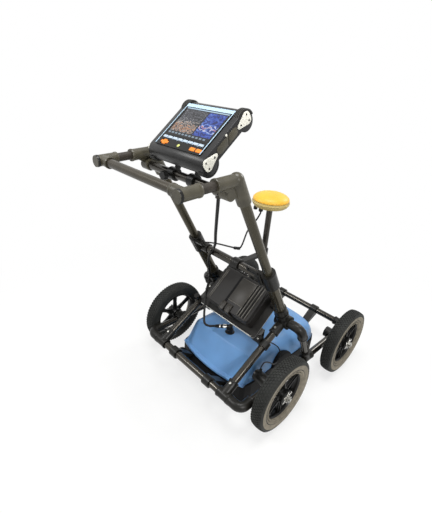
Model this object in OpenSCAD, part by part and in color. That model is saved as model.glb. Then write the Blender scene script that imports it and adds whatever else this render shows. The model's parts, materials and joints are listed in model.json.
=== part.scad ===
// Push cart for ground radar: four wheels, a tube frame, a hung sensor, a battery case,
// a positioning antenna and a tilting console on a telescoping handle.
// Millimetres. +X right, +Y forward, +Z up. The origin is on the ground under the middle.

/* [Wheels] */
// Outer diameter of the tyres
wheel_d = 310; // [280:1:340]
// Width of the tyres
tyre_w = 54; // [44:1:60]
// Distance between left and right tyre centres
wheel_track = 660; // [650:1:720]
// Distance between front and rear axles
wheelbase = 470; // [440:1:540]
// Diameter of the rim under the tyre
rim_d = 212; // [190:1:230]
// Diameter of the hub
hub_d = 56; // [48:1:66]
// Spokes in each wheel
spoke_count = 6; // [5:1:8]
// Diameter of the axles
axle_d = 15; // [12:0.5:18]

/* [Base frame] */
// Diameter of the base tubes
tube_d = 30; // [26:0.5:34]
// Wall of the frame tubes
tube_wall = 2.5; // [1.5:0.1:4]
// Diameter of the moulded fittings
fitting_d = 40; // [38:0.5:46]
// Distance between the side rails
rail_track = 554; // [540:1:556]
// Distance of the rear bar behind the rear axle
rear_overhang = 172; // [160:1:220]
// Distance of the front bar ahead of the front axle
front_overhang = 113; // [90:1:140]
// Distance of the strut tops ahead of the rear axle
apex_forward = 152; // [130:1:180]
// Height of the strut tops
apex_h = 346; // [335:1:380]

/* [Handle frame] */
// Distance between the two legs
leg_track = 384; // [370:1:400]
// Lean of the legs towards the operator, in degrees
leg_lean = 30; // [26:0.5:34]
// Length of the legs from the strut tops to the bend
leg_len = 731; // [680:1:780]
// Diameter of the sliding upper legs
leg_d = 32; // [28:0.5:34]
// Diameter of the lower leg sleeves
sleeve_d = 42; // [40:0.5:46]
// Length of the handle arms
arm_len = 198; // [180:1:230]
// Fall of the handle arms, in degrees
arm_drop = 3; // [0:0.5:8]
// Diameter of the arms and the handlebar
grip_d = 26; // [22:0.5:28]

/* [Console] */
// Width of the console over its end plates
console_w = 250; // [240:1:280]
// Height of the console's face plate
face_h = 166; // [160:1:180]
// Width of the console's face plate
face_w = 200; // [190:1:210]
// Thickness of the console
console_t = 40; // [38:0.5:48]
// Tilt of the console's face from level, in degrees
console_tilt = 40; // [30:1:50]

/* [Sensor] */
// Width of the sensor
sensor_w = 400; // [380:1:420]
// Length of the sensor
sensor_l = 576; // [560:1:590]
// Height of the top of the sensor above the ground
sensor_h = 222; // [210:1:226]
// Gap between the sensor and the ground
ground_gap = 14; // [8:1:24]

/* [Case and antenna] */
// Width of the battery case
case_w = 232; // [215:1:240]
// Length of the battery case along its shelf
case_l = 165; // [155:1:172]
// Slope of the shelf, in degrees
shelf_tilt = 40; // [36:1:42]
// Diameter of the positioning antenna
antenna_d = 140; // [120:1:150]
// Height of the antenna post
post_h = 187; // [150:1:200]

/* [Hidden] */

$fn = 64;
SIDES = [-1, 1];
// Overrun of every cut
over = 1;
// Radial room of a tube in its socket
fit = 0.15;
// Radial room of a part that slides on another
slide_gap = 0.3;
// Radial room of a part that turns on a pin
run_gap = 0.06;

// Places of the base frame, with the rear axle as y = 0
axle_z = wheel_d / 2;
wheel_x = wheel_track / 2;
rail_x = rail_track / 2;
rear_bar_y = -rear_overhang;
front_bar_y = wheelbase + front_overhang;
leg_x = leg_track / 2;
bar_z = axle_z;
apex = [0, apex_forward, apex_h];
strut_foot = [0, rear_bar_y, bar_z];
side_foot_share = 0.5277;
side_foot = [0, wheelbase * side_foot_share, bar_z];
leg_dir = [0, -sin(leg_lean), cos(leg_lean)];
arm_dir = [0, -cos(arm_drop), -sin(arm_drop)];
bend = apex + leg_len * leg_dir;
arm_end = bend + arm_len * arm_dir;

// Handle fittings
elbow_reach = 80;
elbow_arm_d = 36;
tee_d = 34;
tee_branch_d = 32;
tee_reach = 46;
tee_seat = 24;
gusset_t = 14;
bar_boss_d = 36;
bar_back = 20;
bar_under = 36;
bar_boss_w = 26;
elbow_web = 12;

// The rear axle lies so that the whole cart is centred on the origin
handle_end_y = arm_end[1] - sin(arm_drop) * tee_d / 2;
rear_axle_y = -(handle_end_y + wheelbase + wheel_d / 2) / 2;

// Tube frame fittings
elbow_len = 56;
elbow_bend_r = 26;
tube_stop = 17;
tee_branch = 62;
tee_w = 56;
foot_branch = 48;
apex_hub_d = 58;
apex_hub_w = 58;
apex_strut_len = 72;
apex_leg_len = 60;
apex_stop = 24;
apex_sleeve_d = 54;
spigot_depth = 16;

// Leg sleeves, clamps and crossbar, along the leg from the strut top
sleeve_top = 290;
clamp_low = 246;
clamp_top = 322;
clamp_d = 54;
cross_up = 24;
cross_at = clamp_low + cross_up;
cross_d = 32;
cross_socket = 62;
cross_stop = 26;
tube_low = 100;
lever_pin_d = 6;
lever_pin_h = 16;
lever_eye_d = 17;
lever_t = 9;
lever_len = 46;
lever_tip_d = 9;
lever_tip_h = 18;
lever_out = 24;
lever_lift = 0.4;

// Wheels and axles
bead_gap = 0.1;
tread_groove = 3;
tread_cut = 8;
tread_groove_w = 4;
tread_count = 32;
tread_cut_share = 0.3;
// How square the tyre's crown and side walls are
crown_share = 0.62;
wall_share = 0.55;
rim_w = 44;
rim_wall = 4;
rim_flange = 9;
hub_in = 24;
hub_out = 27;
hub_bore_d = 19;
spoke_t = 12;
spoke_root_w = 26;
spoke_tip_w = 22;
spoke_rib_t = 5;
spoke_rib_w = 22;
bearing_d = 32;
bearing_w = 9;
block_d = 50;
block_w = 58;
block_in = 38;
block_out = 20;
axle_seat = 34;
shoulder_d = 21;
nut_flat = 24;
nut_w = 11;
nut_out = 43;
encoder_d = 48;
encoder_w = 34;
encoder_cap_d = 40;
encoder_cap_w = 6;
gland_d = 11;
lead_reach = 42;

// Sensor: side outline as shares of its length and of its height above the parting line
seam_h = 102;
sensor_rear = -86;
lip = 4;
top_round = 62;
sensor_side_shares = [[-0.02, 0], [-0.02, 0.03], [0.012, 0.06], [0.118, 0.8], [0.14, 0.905], [0.175, 0.967],
    [0.23, 0.98], [0.36, 0.94], [0.43, 0.835], [0.475, 0.787], [0.52, 0.835], [0.575, 0.947], [0.65, 1],
    [0.76, 0.98], [0.85, 0.88], [0.925, 0.62], [0.975, 0.24], [1.02, 0.02], [1.02, 0]];
sensor_plan_shares = [[0.045, 0.86], [0.075, 0.93], [0.13, 0.96], [0.36, 0.96], [0.43, 0.92], [0.475, 0.9],
    [0.52, 0.92], [0.58, 0.98], [0.65, 1], [0.80, 1], [0.90, 0.97], [0.955, 0.88], [0.99, 0.7]];
rear_bow_shares = [[0, 0.15], [0.012, 0.42], [0.03, 0.7]];
skid_side_shares = [[0.03, 0.30], [0.06, 0], [0.92, 0], [0.97, 0.28], [1.02, 0.8], [1.02, 1], [-0.02, 1],
    [-0.02, 0.8]];
pocket_l = 170;
pocket_w = 260;
pocket_h = 70;
pocket_rear_share = 0.2;
pocket_front_share = 0.6;
board_t = 6;
board_gap = 0.3;
board_margin = 8;
lug_w = 36;
lug_reach = 34;
lug_t = 12;
lug_drop = 2;
lug_root = 70;
hanger_x = 103;
hanger_d = 44;
hanger_w = 34;
hanger_t = 7;
hanger_foot = 26;
hanger_seat = 4;
socket_d = 30;
socket_h = 12;
socket_fwd = 48;
lead_boss_d = 18;
plug_d = 16;
plug_ring_d = 20;
plug_ring_w = 8;

// Case and shelf, in the frame of the shelf: y up the slope, z out of it
shelf_rear = 10;
shelf_z = 300;
shelf_half = 160;
shelf_l = 200;
shelf_t = 4;
shelf_lip = 8;
shelf_lip_t = 4;
case_x = 12;
case_y = 28;
case_base_h = 42;
case_lid_h = 28;
case_wall = 4;
case_round = 14;
case_rib = 3;
case_rib_w = 7;
case_rib_count = 3;
case_rib_from = 75;
case_rib_step = 14;
case_panel_x = 26;
case_panel_w = 76;
case_panel_t = 2.5;
band_t = 3;
band_h = 8;
seam_gap = 0.4;
knuckle_d = 11;
knuckle_w = 26;
knuckle_gap = 0.5;
knuckle_pin_d = 5;
knuckle_x = 62;
latch_w = 58;
latch_t = 6;
latch_eye_d = 9;
latch_pin_d = 4;
latch_pivot_z = 22;
latch_reach = 38;
latch_room = 0.6;
latch_ear_w = 6;
handle_span = 120;
handle_out = 36;
handle_bar_d = 13;
handle_eye_d = 14;
handle_pin_d = 6;
handle_pin_l = 13.5;
handle_ear_w = 9;
handle_z = 20;
battery_w = 151;
battery_l = 98;
battery_h = 46;
battery_x = -34;
strap_w = 24;
strap_h = 2;

// Shelf clamps
low_clamp_y = 40;
clamp_ring_d = 44;
clamp_ring_w = 28;
clamp_pad_in = 135;
clamp_pad_gap = 3;
clamp_pad_l = 26;
high_clamp_low = 64;
high_clamp_w = 30;
high_clamp_d = 52;
high_pad_t = 10;
high_pad_share = 0.735;
knob_d = 27;
knob_h = 15;
knob_stem_d = 9;
knob_stem_h = 9;
knob_lobe_d = 8;
knob_lobes = 6;
lobe_out_share = 0.2;
knob_gap = 0.4;
knob_pin_d = 5;

// Positioning antenna
gps_x = 27;
gps_arm_len = 158;
gps_arm_w = 24;
gps_arm_t = 12;
gps_ring_d = 46;
gps_ring_w = 34;
post_d = 24;
collar_d = 34;
collar_h = 46;
collar_below = 26;
antenna_rim_h = 24;
antenna_edge_h = 4;
antenna_dome_h = 38;
antenna_foot_share = 0.6;
antenna_neck_d = 42;
antenna_neck_h = 8;
antenna_plug_d = 12;
antenna_plug_h = 14;
antenna_plug_in = 24;

// Console, in the frame of its face: y up the face, z out of it, from the lower edge of the face
console_back = 48.5;
console_rise = 47;
roll_r = 28;
roll_low = 0;
roll_high_in = 3;
bezel_t = 3;
plate_t = 3;
plate_r = 5;
plate_half = 19;
plate_tip = 30;
plate_back = 20;
bumper_t = 4;
bumper_rib = 1.2;
bumper_rib_w = 3;
bumper_rib_step = 6;
bumper_ribs = 3;
rib_start_share = 0.5;
glass_w = 178;
glass_h = 106;
glass_low = 44;
glass_t = 2.2;
key_row_low = 26;
key_row_h = 10;
key_row_w = 178;
key_count = 8;
key_web_t = 1.2;
key_pad_share = 0.8;
key_proud = 1.2;
key_flange = 1.5;
key_flange_t = 2;
key_gap = 0.3;
pocket_depth = 4;
pad_d = 18;
pad_span = 16;
pad_x = -65;
pad_y = 12;
pad_hub_share = 0.5;
fn_w = 21;
fn_h = 12;
fn_left_x = 59;
fn_right_x = 84.5;
fn_y = 12;
power_d = 10;
power_y = 11;
bracket_plate_t = 6;
bracket_plate_w = 130;
bracket_plate_h = 62;
bracket_plate_low = 30;
bracket_ring_d = 40;
bracket_ring_w = 26;
bracket_x = 46;
bracket_web_t = 12;
clip_d = 33;
clip_w = 20;
clip_gland_d = 18;
clip_x = 150;

// Cables: hand-set routes, with the rear axle as y = 0
main_cable_d = 10;
main_drop = 21;
bar_at = bend + [0, -bar_back, -bar_under];
main_route = [bar_at + [clip_x, 0, -main_drop], bar_at + [clip_x, 0, -2 * main_drop], [128, -212, 852],
    [80, -164, 772], [30, -112, 706], [-24, -62, 654], [-66, -24, 618], [-90, -4, 596], [-106, -6, 560],
    [-122, 12, 512], [-138, 34, 462], [-146, 42, 410], [-141, 26, 366], [-116, -2, 326], [-96, -22, 288],
    [-78, -34, 258], [-63, -22, 245], [-45, -2, 245]];
gps_cable_d = 6;
gps_drop = 15;
plug_foot = antenna_seat() + [-antenna_plug_in, -antenna_plug_in, antenna_neck_h - antenna_plug_h - fit];
gps_route = [plug_foot, plug_foot - [0, 0, gps_drop], [10, 120, 728], [18, 85, 718], [26, 58, 706],
    [32, 40, 688], [36, 26, 668], [34, 17, 652], [22, 12, 646], [-20, 9, 638], [-68, 8, 629], [-112, 4, 619],
    [lead_reach + gland_d - leg_x, -2, 612], [lead_reach - leg_x, -2, 612]];
odometer_cable_d = 5;
odometer_x = rail_x - block_in - fit - encoder_w / 2;
odometer_route = [[odometer_x, 0, 196], [odometer_x, 0, 208], [221, 20, 218], [220, 55, 196], [217, 95, 160],
    [214, 122, 150], [211, 142, 160], [206, 150, 182], [192, 146, 206], [172, 136, 217], [160, 132, 217],
    [149, 132, 217]];
cable_sides = 10;
route_steps = 4;

// Colours of the object
olive = [0.22, 0.21, 0.17];
black = [0.10, 0.10, 0.10];
rubber = [0.16, 0.15, 0.14];
steel = [0.72, 0.72, 0.70];
blue = [0.33, 0.52, 0.78];
yellow = [0.96, 0.76, 0.32];
white = [0.92, 0.91, 0.86];
orange = [0.91, 0.52, 0.16];
grey = [0.55, 0.55, 0.53];
dull_yellow = [0.71, 0.63, 0.38];
lime = [0.79, 0.81, 0.48];
board_green = [0.15, 0.35, 0.20];
screen_blue = [0.75, 0.85, 0.95];

// Frames and common shapes

module cart() {
    translate([0, rear_axle_y, 0]) children();
}

// Angles that turn +Z to a direction
function aim(v) = [0, acos(v[2] / norm(v)), atan2(v[1], v[0])];

function unit(v) = v / norm(v);

// A point of the middle plane on one side of the cart
function on_side(p, x) = [x, p[1], p[2]];

module rod(a, b, d) {
    translate(a) rotate(aim(b - a)) cylinder(d = d, h = norm(b - a));
}

module pipe(a, b, d, wall) {
    run = unit(b - a);
    difference() {
        rod(a, b, d);
        rod(a - over * run, b + over * run, d - 2 * wall);
    }
}

module rod_x(x0, x1, d) {
    translate([min(x0, x1), 0, 0]) rotate([0, 90, 0]) cylinder(d = d, h = abs(x1 - x0));
}

module leg_frame(side) {
    translate(on_side(apex, side * leg_x)) rotate([leg_lean, 0, 0]) children();
}

module shelf_frame() {
    translate([0, shelf_rear, shelf_z]) rotate([shelf_tilt, 0, 0]) children();
}

module console_frame() {
    translate(bend + [0, -console_back, console_rise]) rotate([console_tilt, 0, 0]) children();
}

module wheel_frame(side, front) {
    translate([side * wheel_x, front * wheelbase, axle_z]) rotate([0, side * 90, 0]) children();
}

// A flat outline along X: the outline's x is y here and its y is z
module across(x0, x1) {
    translate([x0, 0, 0]) rotate([90, 0, 90]) linear_extrude(x1 - x0) children();
}

function arc(c, r, a0, a1, n) = [for (i = [0:n])
    let (a = a0 + (a1 - a0) * i / n)
    c + r * [cos(a), sin(a)]];

// A rectangle with round corners, from its low corner
function round_rect(p, s, r, n = 6) = concat(
    arc(p + [s[0] - r, r], r, -90, 0, n), arc(p + [s[0] - r, s[1] - r], r, 0, 90, n),
    arc(p + [r, s[1] - r], r, 90, 180, n), arc(p + [r, r], r, 180, 270, n));

module round_box(p, s, r, z0, z1) {
    translate([0, 0, z0]) linear_extrude(z1 - z0) polygon(round_rect(p, s, r));
}

// A smooth curve through the points of a route
function route_point(p, i, t) =
    let (n = len(p) - 1, a = p[max(i - 1, 0)], b = p[i], c = p[min(i + 1, n)], d = p[min(i + 2, n)])
    b + t / 2 * (c - a) + t * t / 2 * (2 * a - 5 * b + 4 * c - d) + t * t * t / 2 * (3 * b - a - 3 * c + d);

function smooth_route(p, steps) = concat(
    [for (i = [0:len(p) - 2], k = [0:steps - 1]) route_point(p, i, k / steps)], [p[len(p) - 1]]);

// A round cable swept along its route; ref is a direction that the cable never follows
module cable(route, d, ref) {
    path = smooth_route(route, route_steps);
    n = len(path);
    end = len(route) - 1;
    runs = [for (i = [0:n - 1]) i == 0 ? route[1] - route[0]
        : i == n - 1 ? route[end] - route[end - 1] : path[i + 1] - path[i - 1]];
    rings = [for (i = [0:n - 1])
        let (u = unit(cross(runs[i], ref)), v = cross(unit(runs[i]), u))
        for (k = [0:cable_sides - 1])
            let (a = 360 * k / cable_sides)
            path[i] + d / 2 * (cos(a) * u + sin(a) * v)];
    walls = [for (i = [0:n - 2], k = [0:cable_sides - 1])
        let (a = i * cable_sides + k, b = i * cable_sides + (k + 1) % cable_sides)
        each [[a, a + cable_sides, b], [b, a + cable_sides, b + cable_sides]]];
    first = [for (k = [1:cable_sides - 2]) [0, k, k + 1]];
    last = [for (k = [1:cable_sides - 2]) (n - 1) * cable_sides * [1, 1, 1] + [0, k + 1, k]];
    polyhedron(points = rings, faces = concat(walls, first, last));
}

// A knob with a scalloped rim round +Z, and the hole for its screw
module lobed_knob() {
    difference() {
        cylinder(d = knob_d, h = knob_h);
        for (i = [0:knob_lobes - 1])
            rotate([0, 0, 360 * i / knob_lobes])
                translate([knob_d / 2 + knob_lobe_d * lobe_out_share, 0, -over])
                    cylinder(d = knob_lobe_d, h = knob_h + 2 * over);
        translate([0, 0, -over]) cylinder(d = knob_pin_d + 2 * run_gap, h = knob_h - knob_lobe_d / 2 + over);
    }
}

// Base frame

module cross_bars() {
    color(black) cart()
        for (y = [rear_bar_y, front_bar_y])
            pipe([tube_stop - rail_x, y, bar_z], [rail_x - tube_stop, y, bar_z], tube_d, tube_wall);
}

module side_rails() {
    color(black) cart() for (side = SIDES)
        difference() {
            translate([side * rail_x, 0, bar_z])
                pipe([0, rear_bar_y + tube_stop, 0], [0, front_bar_y - tube_stop, 0], tube_d, tube_wall);
            for (front = [0, 1])
                translate([side * rail_x, front * wheelbase, bar_z]) rod_x(-tube_d, tube_d, axle_d + 2 * fit);
        }
}

// A round bend with its corner at the origin and its two straight legs along -X and +Y
module elbow_bend(x_leg, y_leg) {
    translate([-elbow_bend_r, elbow_bend_r, 0]) rotate([0, 0, -90]) rotate_extrude(angle = 90)
        translate([elbow_bend_r, 0]) circle(d = fitting_d);
    rod([-elbow_bend_r, 0, 0], [-x_leg, 0, 0], fitting_d);
    rod([0, elbow_bend_r, 0], [0, y_leg, 0], fitting_d);
}

module corner_elbow(side, y, inward) {
    translate([side * rail_x, y, bar_z]) mirror([side < 0 ? 1 : 0, 0, 0]) mirror([0, inward < 0 ? 1 : 0, 0])
        difference() {
            elbow_bend(elbow_len, elbow_len);
            rod([-tube_stop, 0, 0], [-elbow_len - over, 0, 0], tube_d + 2 * fit);
            rod([0, tube_stop, 0], [0, elbow_len + over, 0], tube_d + 2 * fit);
        }
}

module strut_tee(side) {
    foot = on_side(strut_foot, side * leg_x);
    run = unit(apex - strut_foot);
    difference() {
        union() {
            translate(foot) rod_x(-tee_w / 2, tee_w / 2, fitting_d);
            rod(foot, foot + tee_branch * run, fitting_d);
        }
        translate(foot) rod_x(-tee_w, tee_w, tube_d + 2 * fit);
        rod(foot + tube_d / 2 * run, foot + (tee_branch + over) * run, tube_d + 2 * fit);
    }
}

module rail_tee(side) {
    foot = on_side(side_foot, side * rail_x);
    run = unit(apex - side_foot);
    difference() {
        union() {
            rod(foot - [0, tee_w / 2, 0], foot + [0, tee_w / 2, 0], fitting_d);
            rod(foot, foot + foot_branch * run, fitting_d);
        }
        rod(foot - [0, tee_w, 0], foot + [0, tee_w, 0], tube_d + 2 * fit);
        rod(foot + tube_d / 2 * run, foot + (foot_branch + over) * run, tube_d + 2 * fit);
    }
}

// The elbow's spigot plugs into the apex fitting and its other leg takes the side leg
module side_elbow(side) {
    run = unit(side_foot - apex);
    shoulder = rail_x - leg_x - apex_hub_w / 2;
    translate(on_side(apex, side * rail_x)) mirror([side < 0 ? 1 : 0, 0, 0])
        rotate([atan2(run[2], run[1]), 0, 0])
            difference() {
                union() {
                    elbow_bend(shoulder, elbow_len);
                    rod_x(-shoulder - spigot_depth, over - shoulder, tube_d);
                }
                rod([0, tube_stop, 0], [0, elbow_len + over, 0], tube_d + 2 * fit);
            }
}

module frame_fittings() {
    color(olive) cart() for (side = SIDES) {
        corner_elbow(side, rear_bar_y, 1);
        corner_elbow(side, front_bar_y, -1);
        strut_tee(side);
        rail_tee(side);
        side_elbow(side);
    }
}

module struts() {
    rear_run = unit(apex - strut_foot);
    side_run = unit(side_foot - apex);
    // The square end of a side leg stays above its rail
    foot_clear = tube_d / 2 * (1 + abs(side_run[1])) + fit;
    color(black) cart() for (side = SIDES) {
        pipe(on_side(strut_foot + (tube_d / 2 + fit + tube_wall) * rear_run, side * leg_x),
            on_side(apex - apex_stop * rear_run, side * leg_x), tube_d, tube_wall);
        pipe(on_side(apex + tube_stop * side_run, side * rail_x),
            on_side(side_foot - foot_clear / abs(side_run[2]) * side_run, side * rail_x), tube_d, tube_wall);
    }
}

module apex_fittings() {
    down = unit(strut_foot - apex);
    color(olive) cart() for (side = SIDES) {
        top = on_side(apex, side * leg_x);
        difference() {
            union() {
                translate(top) rod_x(-apex_hub_w / 2, apex_hub_w / 2, apex_hub_d);
                rod(top, top + apex_strut_len * down, fitting_d);
                rod(top, top + apex_leg_len * leg_dir, apex_sleeve_d);
            }
            rod(top + apex_stop * down, top + (apex_strut_len + over) * down, tube_d + 2 * fit);
            rod(top + apex_stop * leg_dir, top + (apex_leg_len + over) * leg_dir, sleeve_d + 2 * fit);
            translate(top) rod_x(side * (apex_hub_w / 2 - spigot_depth), side * (apex_hub_w / 2 + over),
                tube_d + 2 * fit);
        }
    }
}

module leg_sleeves() {
    color(olive) cart() for (side = SIDES) leg_frame(side)
        difference() {
            translate([0, 0, apex_stop]) cylinder(d = sleeve_d, h = sleeve_top - apex_stop);
            translate([0, 0, apex_stop - over])
                cylinder(d = leg_d + 2 * slide_gap, h = sleeve_top - apex_stop + 2 * over);
        }
}

module leg_clamps() {
    color(olive) cart() for (side = SIDES) leg_frame(side) {
        difference() {
            union() {
                translate([0, 0, clamp_low]) cylinder(d = clamp_d, h = clamp_top - clamp_low);
                translate([0, 0, cross_at]) rod_x(0, -side * cross_socket, fitting_d);
                translate([-side * lever_out, -lever_out, clamp_low + clamp_d / 2]) {
                    cylinder(d = lever_eye_d, h = clamp_top - clamp_low - clamp_d / 2);
                    cylinder(d = lever_pin_d, h = clamp_top - clamp_low - clamp_d / 2 + lever_pin_h);
                }
                if (side < 0) lead_gland();
            }
            translate([0, 0, clamp_low - over])
                cylinder(d = sleeve_d + 2 * fit, h = sleeve_top - clamp_low + over);
            translate([0, 0, clamp_low - over])
                cylinder(d = leg_d + 2 * slide_gap, h = clamp_top - clamp_low + 2 * over);
            translate([0, 0, cross_at])
                rod_x(-side * cross_stop, -side * (cross_socket + over), cross_d + 2 * fit);
        }
    }
}

// Gland of the antenna lead, in the frame of the left leg
module lead_gland() {
    end = gps_route[len(gps_route) - 1] - [-leg_x, apex[1], apex[2]];
    rotate([-leg_lean, 0, 0]) translate([0, end[1], end[2]]) rod_x(sleeve_d / 2, end[0] - fit, gland_d);
}

module crossbar() {
    at = apex + cross_at * leg_dir;
    color(black) cart()
        pipe([cross_stop - leg_x, at[1], at[2]], [leg_x - cross_stop, at[1], at[2]], cross_d, tube_wall);
}

module clamp_lever(side) {
    leg_frame(side) translate([-side * lever_out, -lever_out, clamp_top + lever_lift])
        difference() {
            union() {
                cylinder(d = lever_eye_d, h = lever_t);
                translate([min(0, -side * lever_len), -lever_tip_d / 2, 0])
                    cube([lever_len, lever_tip_d, lever_t]);
                translate([-side * lever_len, 0, 0]) cylinder(d = lever_tip_d, h = lever_tip_h);
            }
            translate([0, 0, -over]) cylinder(d = lever_pin_d + 2 * run_gap, h = lever_t + 2 * over);
        }
}

module left_clamp_lever() {
    color(black) cart() clamp_lever(-1);
}

module right_clamp_lever() {
    color(black) cart() clamp_lever(1);
}

// Wheels and axles

// Half of the tyre's section follows a rounded square from bead to bead
function tyre_section(w, r0, r1, n = 10) = [for (i = [0:n])
    let (a = 180 * i / n, c = cos(a), s = sin(a))
    [r0 + (r1 - r0) * pow(abs(s), crown_share), w / 2 * sign(c) * pow(abs(c), wall_share)]];

module tyre(side, front) {
    bead_r = rim_d / 2 + bead_gap;
    color(rubber) cart() wheel_frame(side, front)
        difference() {
            rotate_extrude() polygon(tyre_section(tyre_w, bead_r, wheel_d / 2));
            for (s = SIDES)
                rotate_extrude() translate([wheel_d / 2 - tread_groove, s * tyre_w / 6 - tread_groove_w / 2])
                    square([tread_groove * 2, tread_groove_w]);
            for (i = [0:tread_count - 1], s = SIDES)
                rotate([0, 0, 360 * (i + s / 4) / tread_count])
                    translate([wheel_d / 2 - tread_cut, -tread_groove_w / 2,
                        s > 0 ? tyre_w * tread_cut_share : -tyre_w])
                        cube([tread_cut + over, tread_groove_w, tyre_w * (1 - tread_cut_share)]);
        }
}

module spoke() {
    root = hub_bore_d / 2 + rim_wall;
    tip = rim_d / 2 - rim_wall - rim_wall / 2;
    half_root = spoke_root_w / 2;
    half_tip = spoke_tip_w / 2;
    translate([0, 0, -spoke_t / 2]) linear_extrude(spoke_t)
        polygon([[root, -half_root], [tip, -half_tip], [tip, half_tip], [root, half_root]]);
    translate([root, -spoke_rib_t / 2, -spoke_rib_w / 2]) cube([tip - root, spoke_rib_t, spoke_rib_w]);
}

module rim(side, front) {
    r = rim_d / 2;
    color(black) cart() wheel_frame(side, front)
        difference() {
            union() {
                rotate_extrude() polygon([[r - rim_wall, -rim_w / 2], [r, -rim_w / 2], [r, rim_w / 2],
                    [r - rim_wall, rim_w / 2], [r - rim_wall - rim_flange, rim_w / 2 - rim_flange],
                    [r - rim_wall - rim_flange, rim_flange - rim_w / 2]]);
                translate([0, 0, -hub_in]) cylinder(d = hub_d, h = hub_in + hub_out);
                for (i = [0:spoke_count - 1]) rotate([0, 0, 360 * i / spoke_count]) spoke();
            }
            translate([0, 0, -hub_in - over]) cylinder(d = hub_bore_d, h = hub_in + hub_out + 2 * over);
            translate([0, 0, -hub_in - over]) cylinder(d = bearing_d + 2 * run_gap, h = bearing_w + over);
            translate([0, 0, hub_out - bearing_w])
                cylinder(d = bearing_d + 2 * run_gap, h = bearing_w + over);
        }
}

module rear_left_tyre() {
    tyre(-1, 0);
}

module rear_right_tyre() {
    tyre(1, 0);
}

module front_left_tyre() {
    tyre(-1, 1);
}

module front_right_tyre() {
    tyre(1, 1);
}

module rear_left_rim() {
    rim(-1, 0);
}

module rear_right_rim() {
    rim(1, 0);
}

module front_left_rim() {
    rim(-1, 1);
}

module front_right_rim() {
    rim(1, 1);
}

module axle_blocks() {
    color(olive) cart() for (side = SIDES, front = [0, 1])
        translate([side * rail_x, front * wheelbase, bar_z])
            difference() {
                union() {
                    rod([0, -block_w / 2, 0], [0, block_w / 2, 0], fitting_d);
                    rod_x(-side * block_in, side * block_out, block_d);
                }
                rod([0, -block_w, 0], [0, block_w, 0], tube_d + 2 * fit);
                rod_x(-side * axle_seat, side * (block_out + over), axle_d + 2 * fit);
            }
}

module axle_set(side, front) {
    block_face = block_out - wheel_x + rail_x;
    wheel_frame(side, front) {
        translate([0, 0, rail_x - wheel_x - axle_seat])
            cylinder(d = axle_d, h = nut_out + wheel_x - rail_x + axle_seat);
        translate([0, 0, block_face + fit]) difference() {
            cylinder(d = shoulder_d, h = -hub_in - block_face - fit);
            translate([0, 0, -over]) cylinder(d = axle_d + 2 * fit, h = -hub_in - block_face + 2 * over);
        }
        for (z = [-hub_in, hub_out - bearing_w])
            translate([0, 0, z]) difference() {
                cylinder(d = bearing_d, h = bearing_w);
                translate([0, 0, -over]) cylinder(d = axle_d + 2 * fit, h = bearing_w + 2 * over);
            }
        translate([0, 0, hub_out + fit]) difference() {
            cylinder(d = nut_flat / cos(30), h = nut_w, $fn = 6);
            translate([0, 0, -over]) cylinder(d = axle_d + 2 * fit, h = nut_w + 2 * over);
        }
    }
}

module axle_hardware() {
    color(steel) cart() for (side = SIDES, front = [0, 1]) axle_set(side, front);
}

module odometer_encoder() {
    color(black) cart() translate([rail_x - block_in - fit, 0, bar_z]) {
        rod_x(-encoder_w, 0, encoder_d);
        rod_x(-encoder_w - encoder_cap_w, -encoder_w, encoder_cap_d);
        translate([-encoder_w / 2, 0, 0]) cylinder(d = gland_d, h = odometer_route[0][2] - bar_z - fit);
    }
}

module odometer_cable() {
    color(black) cart() cable(odometer_route, odometer_cable_d, [1, 1, 0]);
}

// Sensor

function sensor_side(h0, h1) = [for (s = sensor_side_shares)
    [sensor_rear + sensor_l * s[0], h0 + (h1 - h0) * s[1]]];

function sensor_half() = concat(rear_bow_shares, sensor_plan_shares);

function sensor_plan(grow) = let (half = sensor_half(), n = len(half))
    concat([for (s = half) [sensor_w / 2 * s[1] + grow, sensor_rear + sensor_l * s[0]]],
        [for (i = [n - 1:-1:0]) [-sensor_w / 2 * half[i][1] - grow, sensor_rear + sensor_l * half[i][0]]]);

module sensor_crown() {
    w = sensor_w / 2 + lip;
    polygon(concat([[w, seam_h]], arc([w - top_round, sensor_h - top_round], top_round, 0, 90, 8),
        arc([top_round - w, sensor_h - top_round], top_round, 90, 180, 8), [[-w, seam_h]]));
}

module board_pocket(share) {
    translate([-pocket_w / 2, sensor_rear + sensor_l * share, seam_h - over])
        cube([pocket_w, pocket_l, pocket_h + over]);
}

// The main cable's socket and the boss that takes the odometer's lead
module sensor_sockets() {
    low = seam_h + pocket_h;
    translate([0, socket_fwd, low]) cylinder(d = socket_d, h = sensor_h + socket_h - low);
    end = odometer_route[len(odometer_route) - 1];
    translate([end[0] - lead_boss_d / 2 - fit, end[1], low])
        cylinder(d = lead_boss_d, h = end[2] + gland_d / 2 - low);
}

module sensor_shell() {
    color(blue) cart()
        difference() {
            union() {
                intersection() {
                    across(-sensor_w, sensor_w) polygon(sensor_side(seam_h, sensor_h));
                    linear_extrude(sensor_h) polygon(sensor_plan(0));
                    translate([0, sensor_rear + 2 * sensor_l, 0]) rotate([90, 0, 0])
                        linear_extrude(3 * sensor_l) sensor_crown();
                }
                sensor_sockets();
            }
            board_pocket(pocket_rear_share);
            board_pocket(pocket_front_share);
        }
}

module sensor_lug(x, y, reach) {
    translate([x - lug_w / 2, min(y, y + reach), seam_h - lug_drop - lug_t]) cube([lug_w, abs(reach), lug_t]);
}

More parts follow.
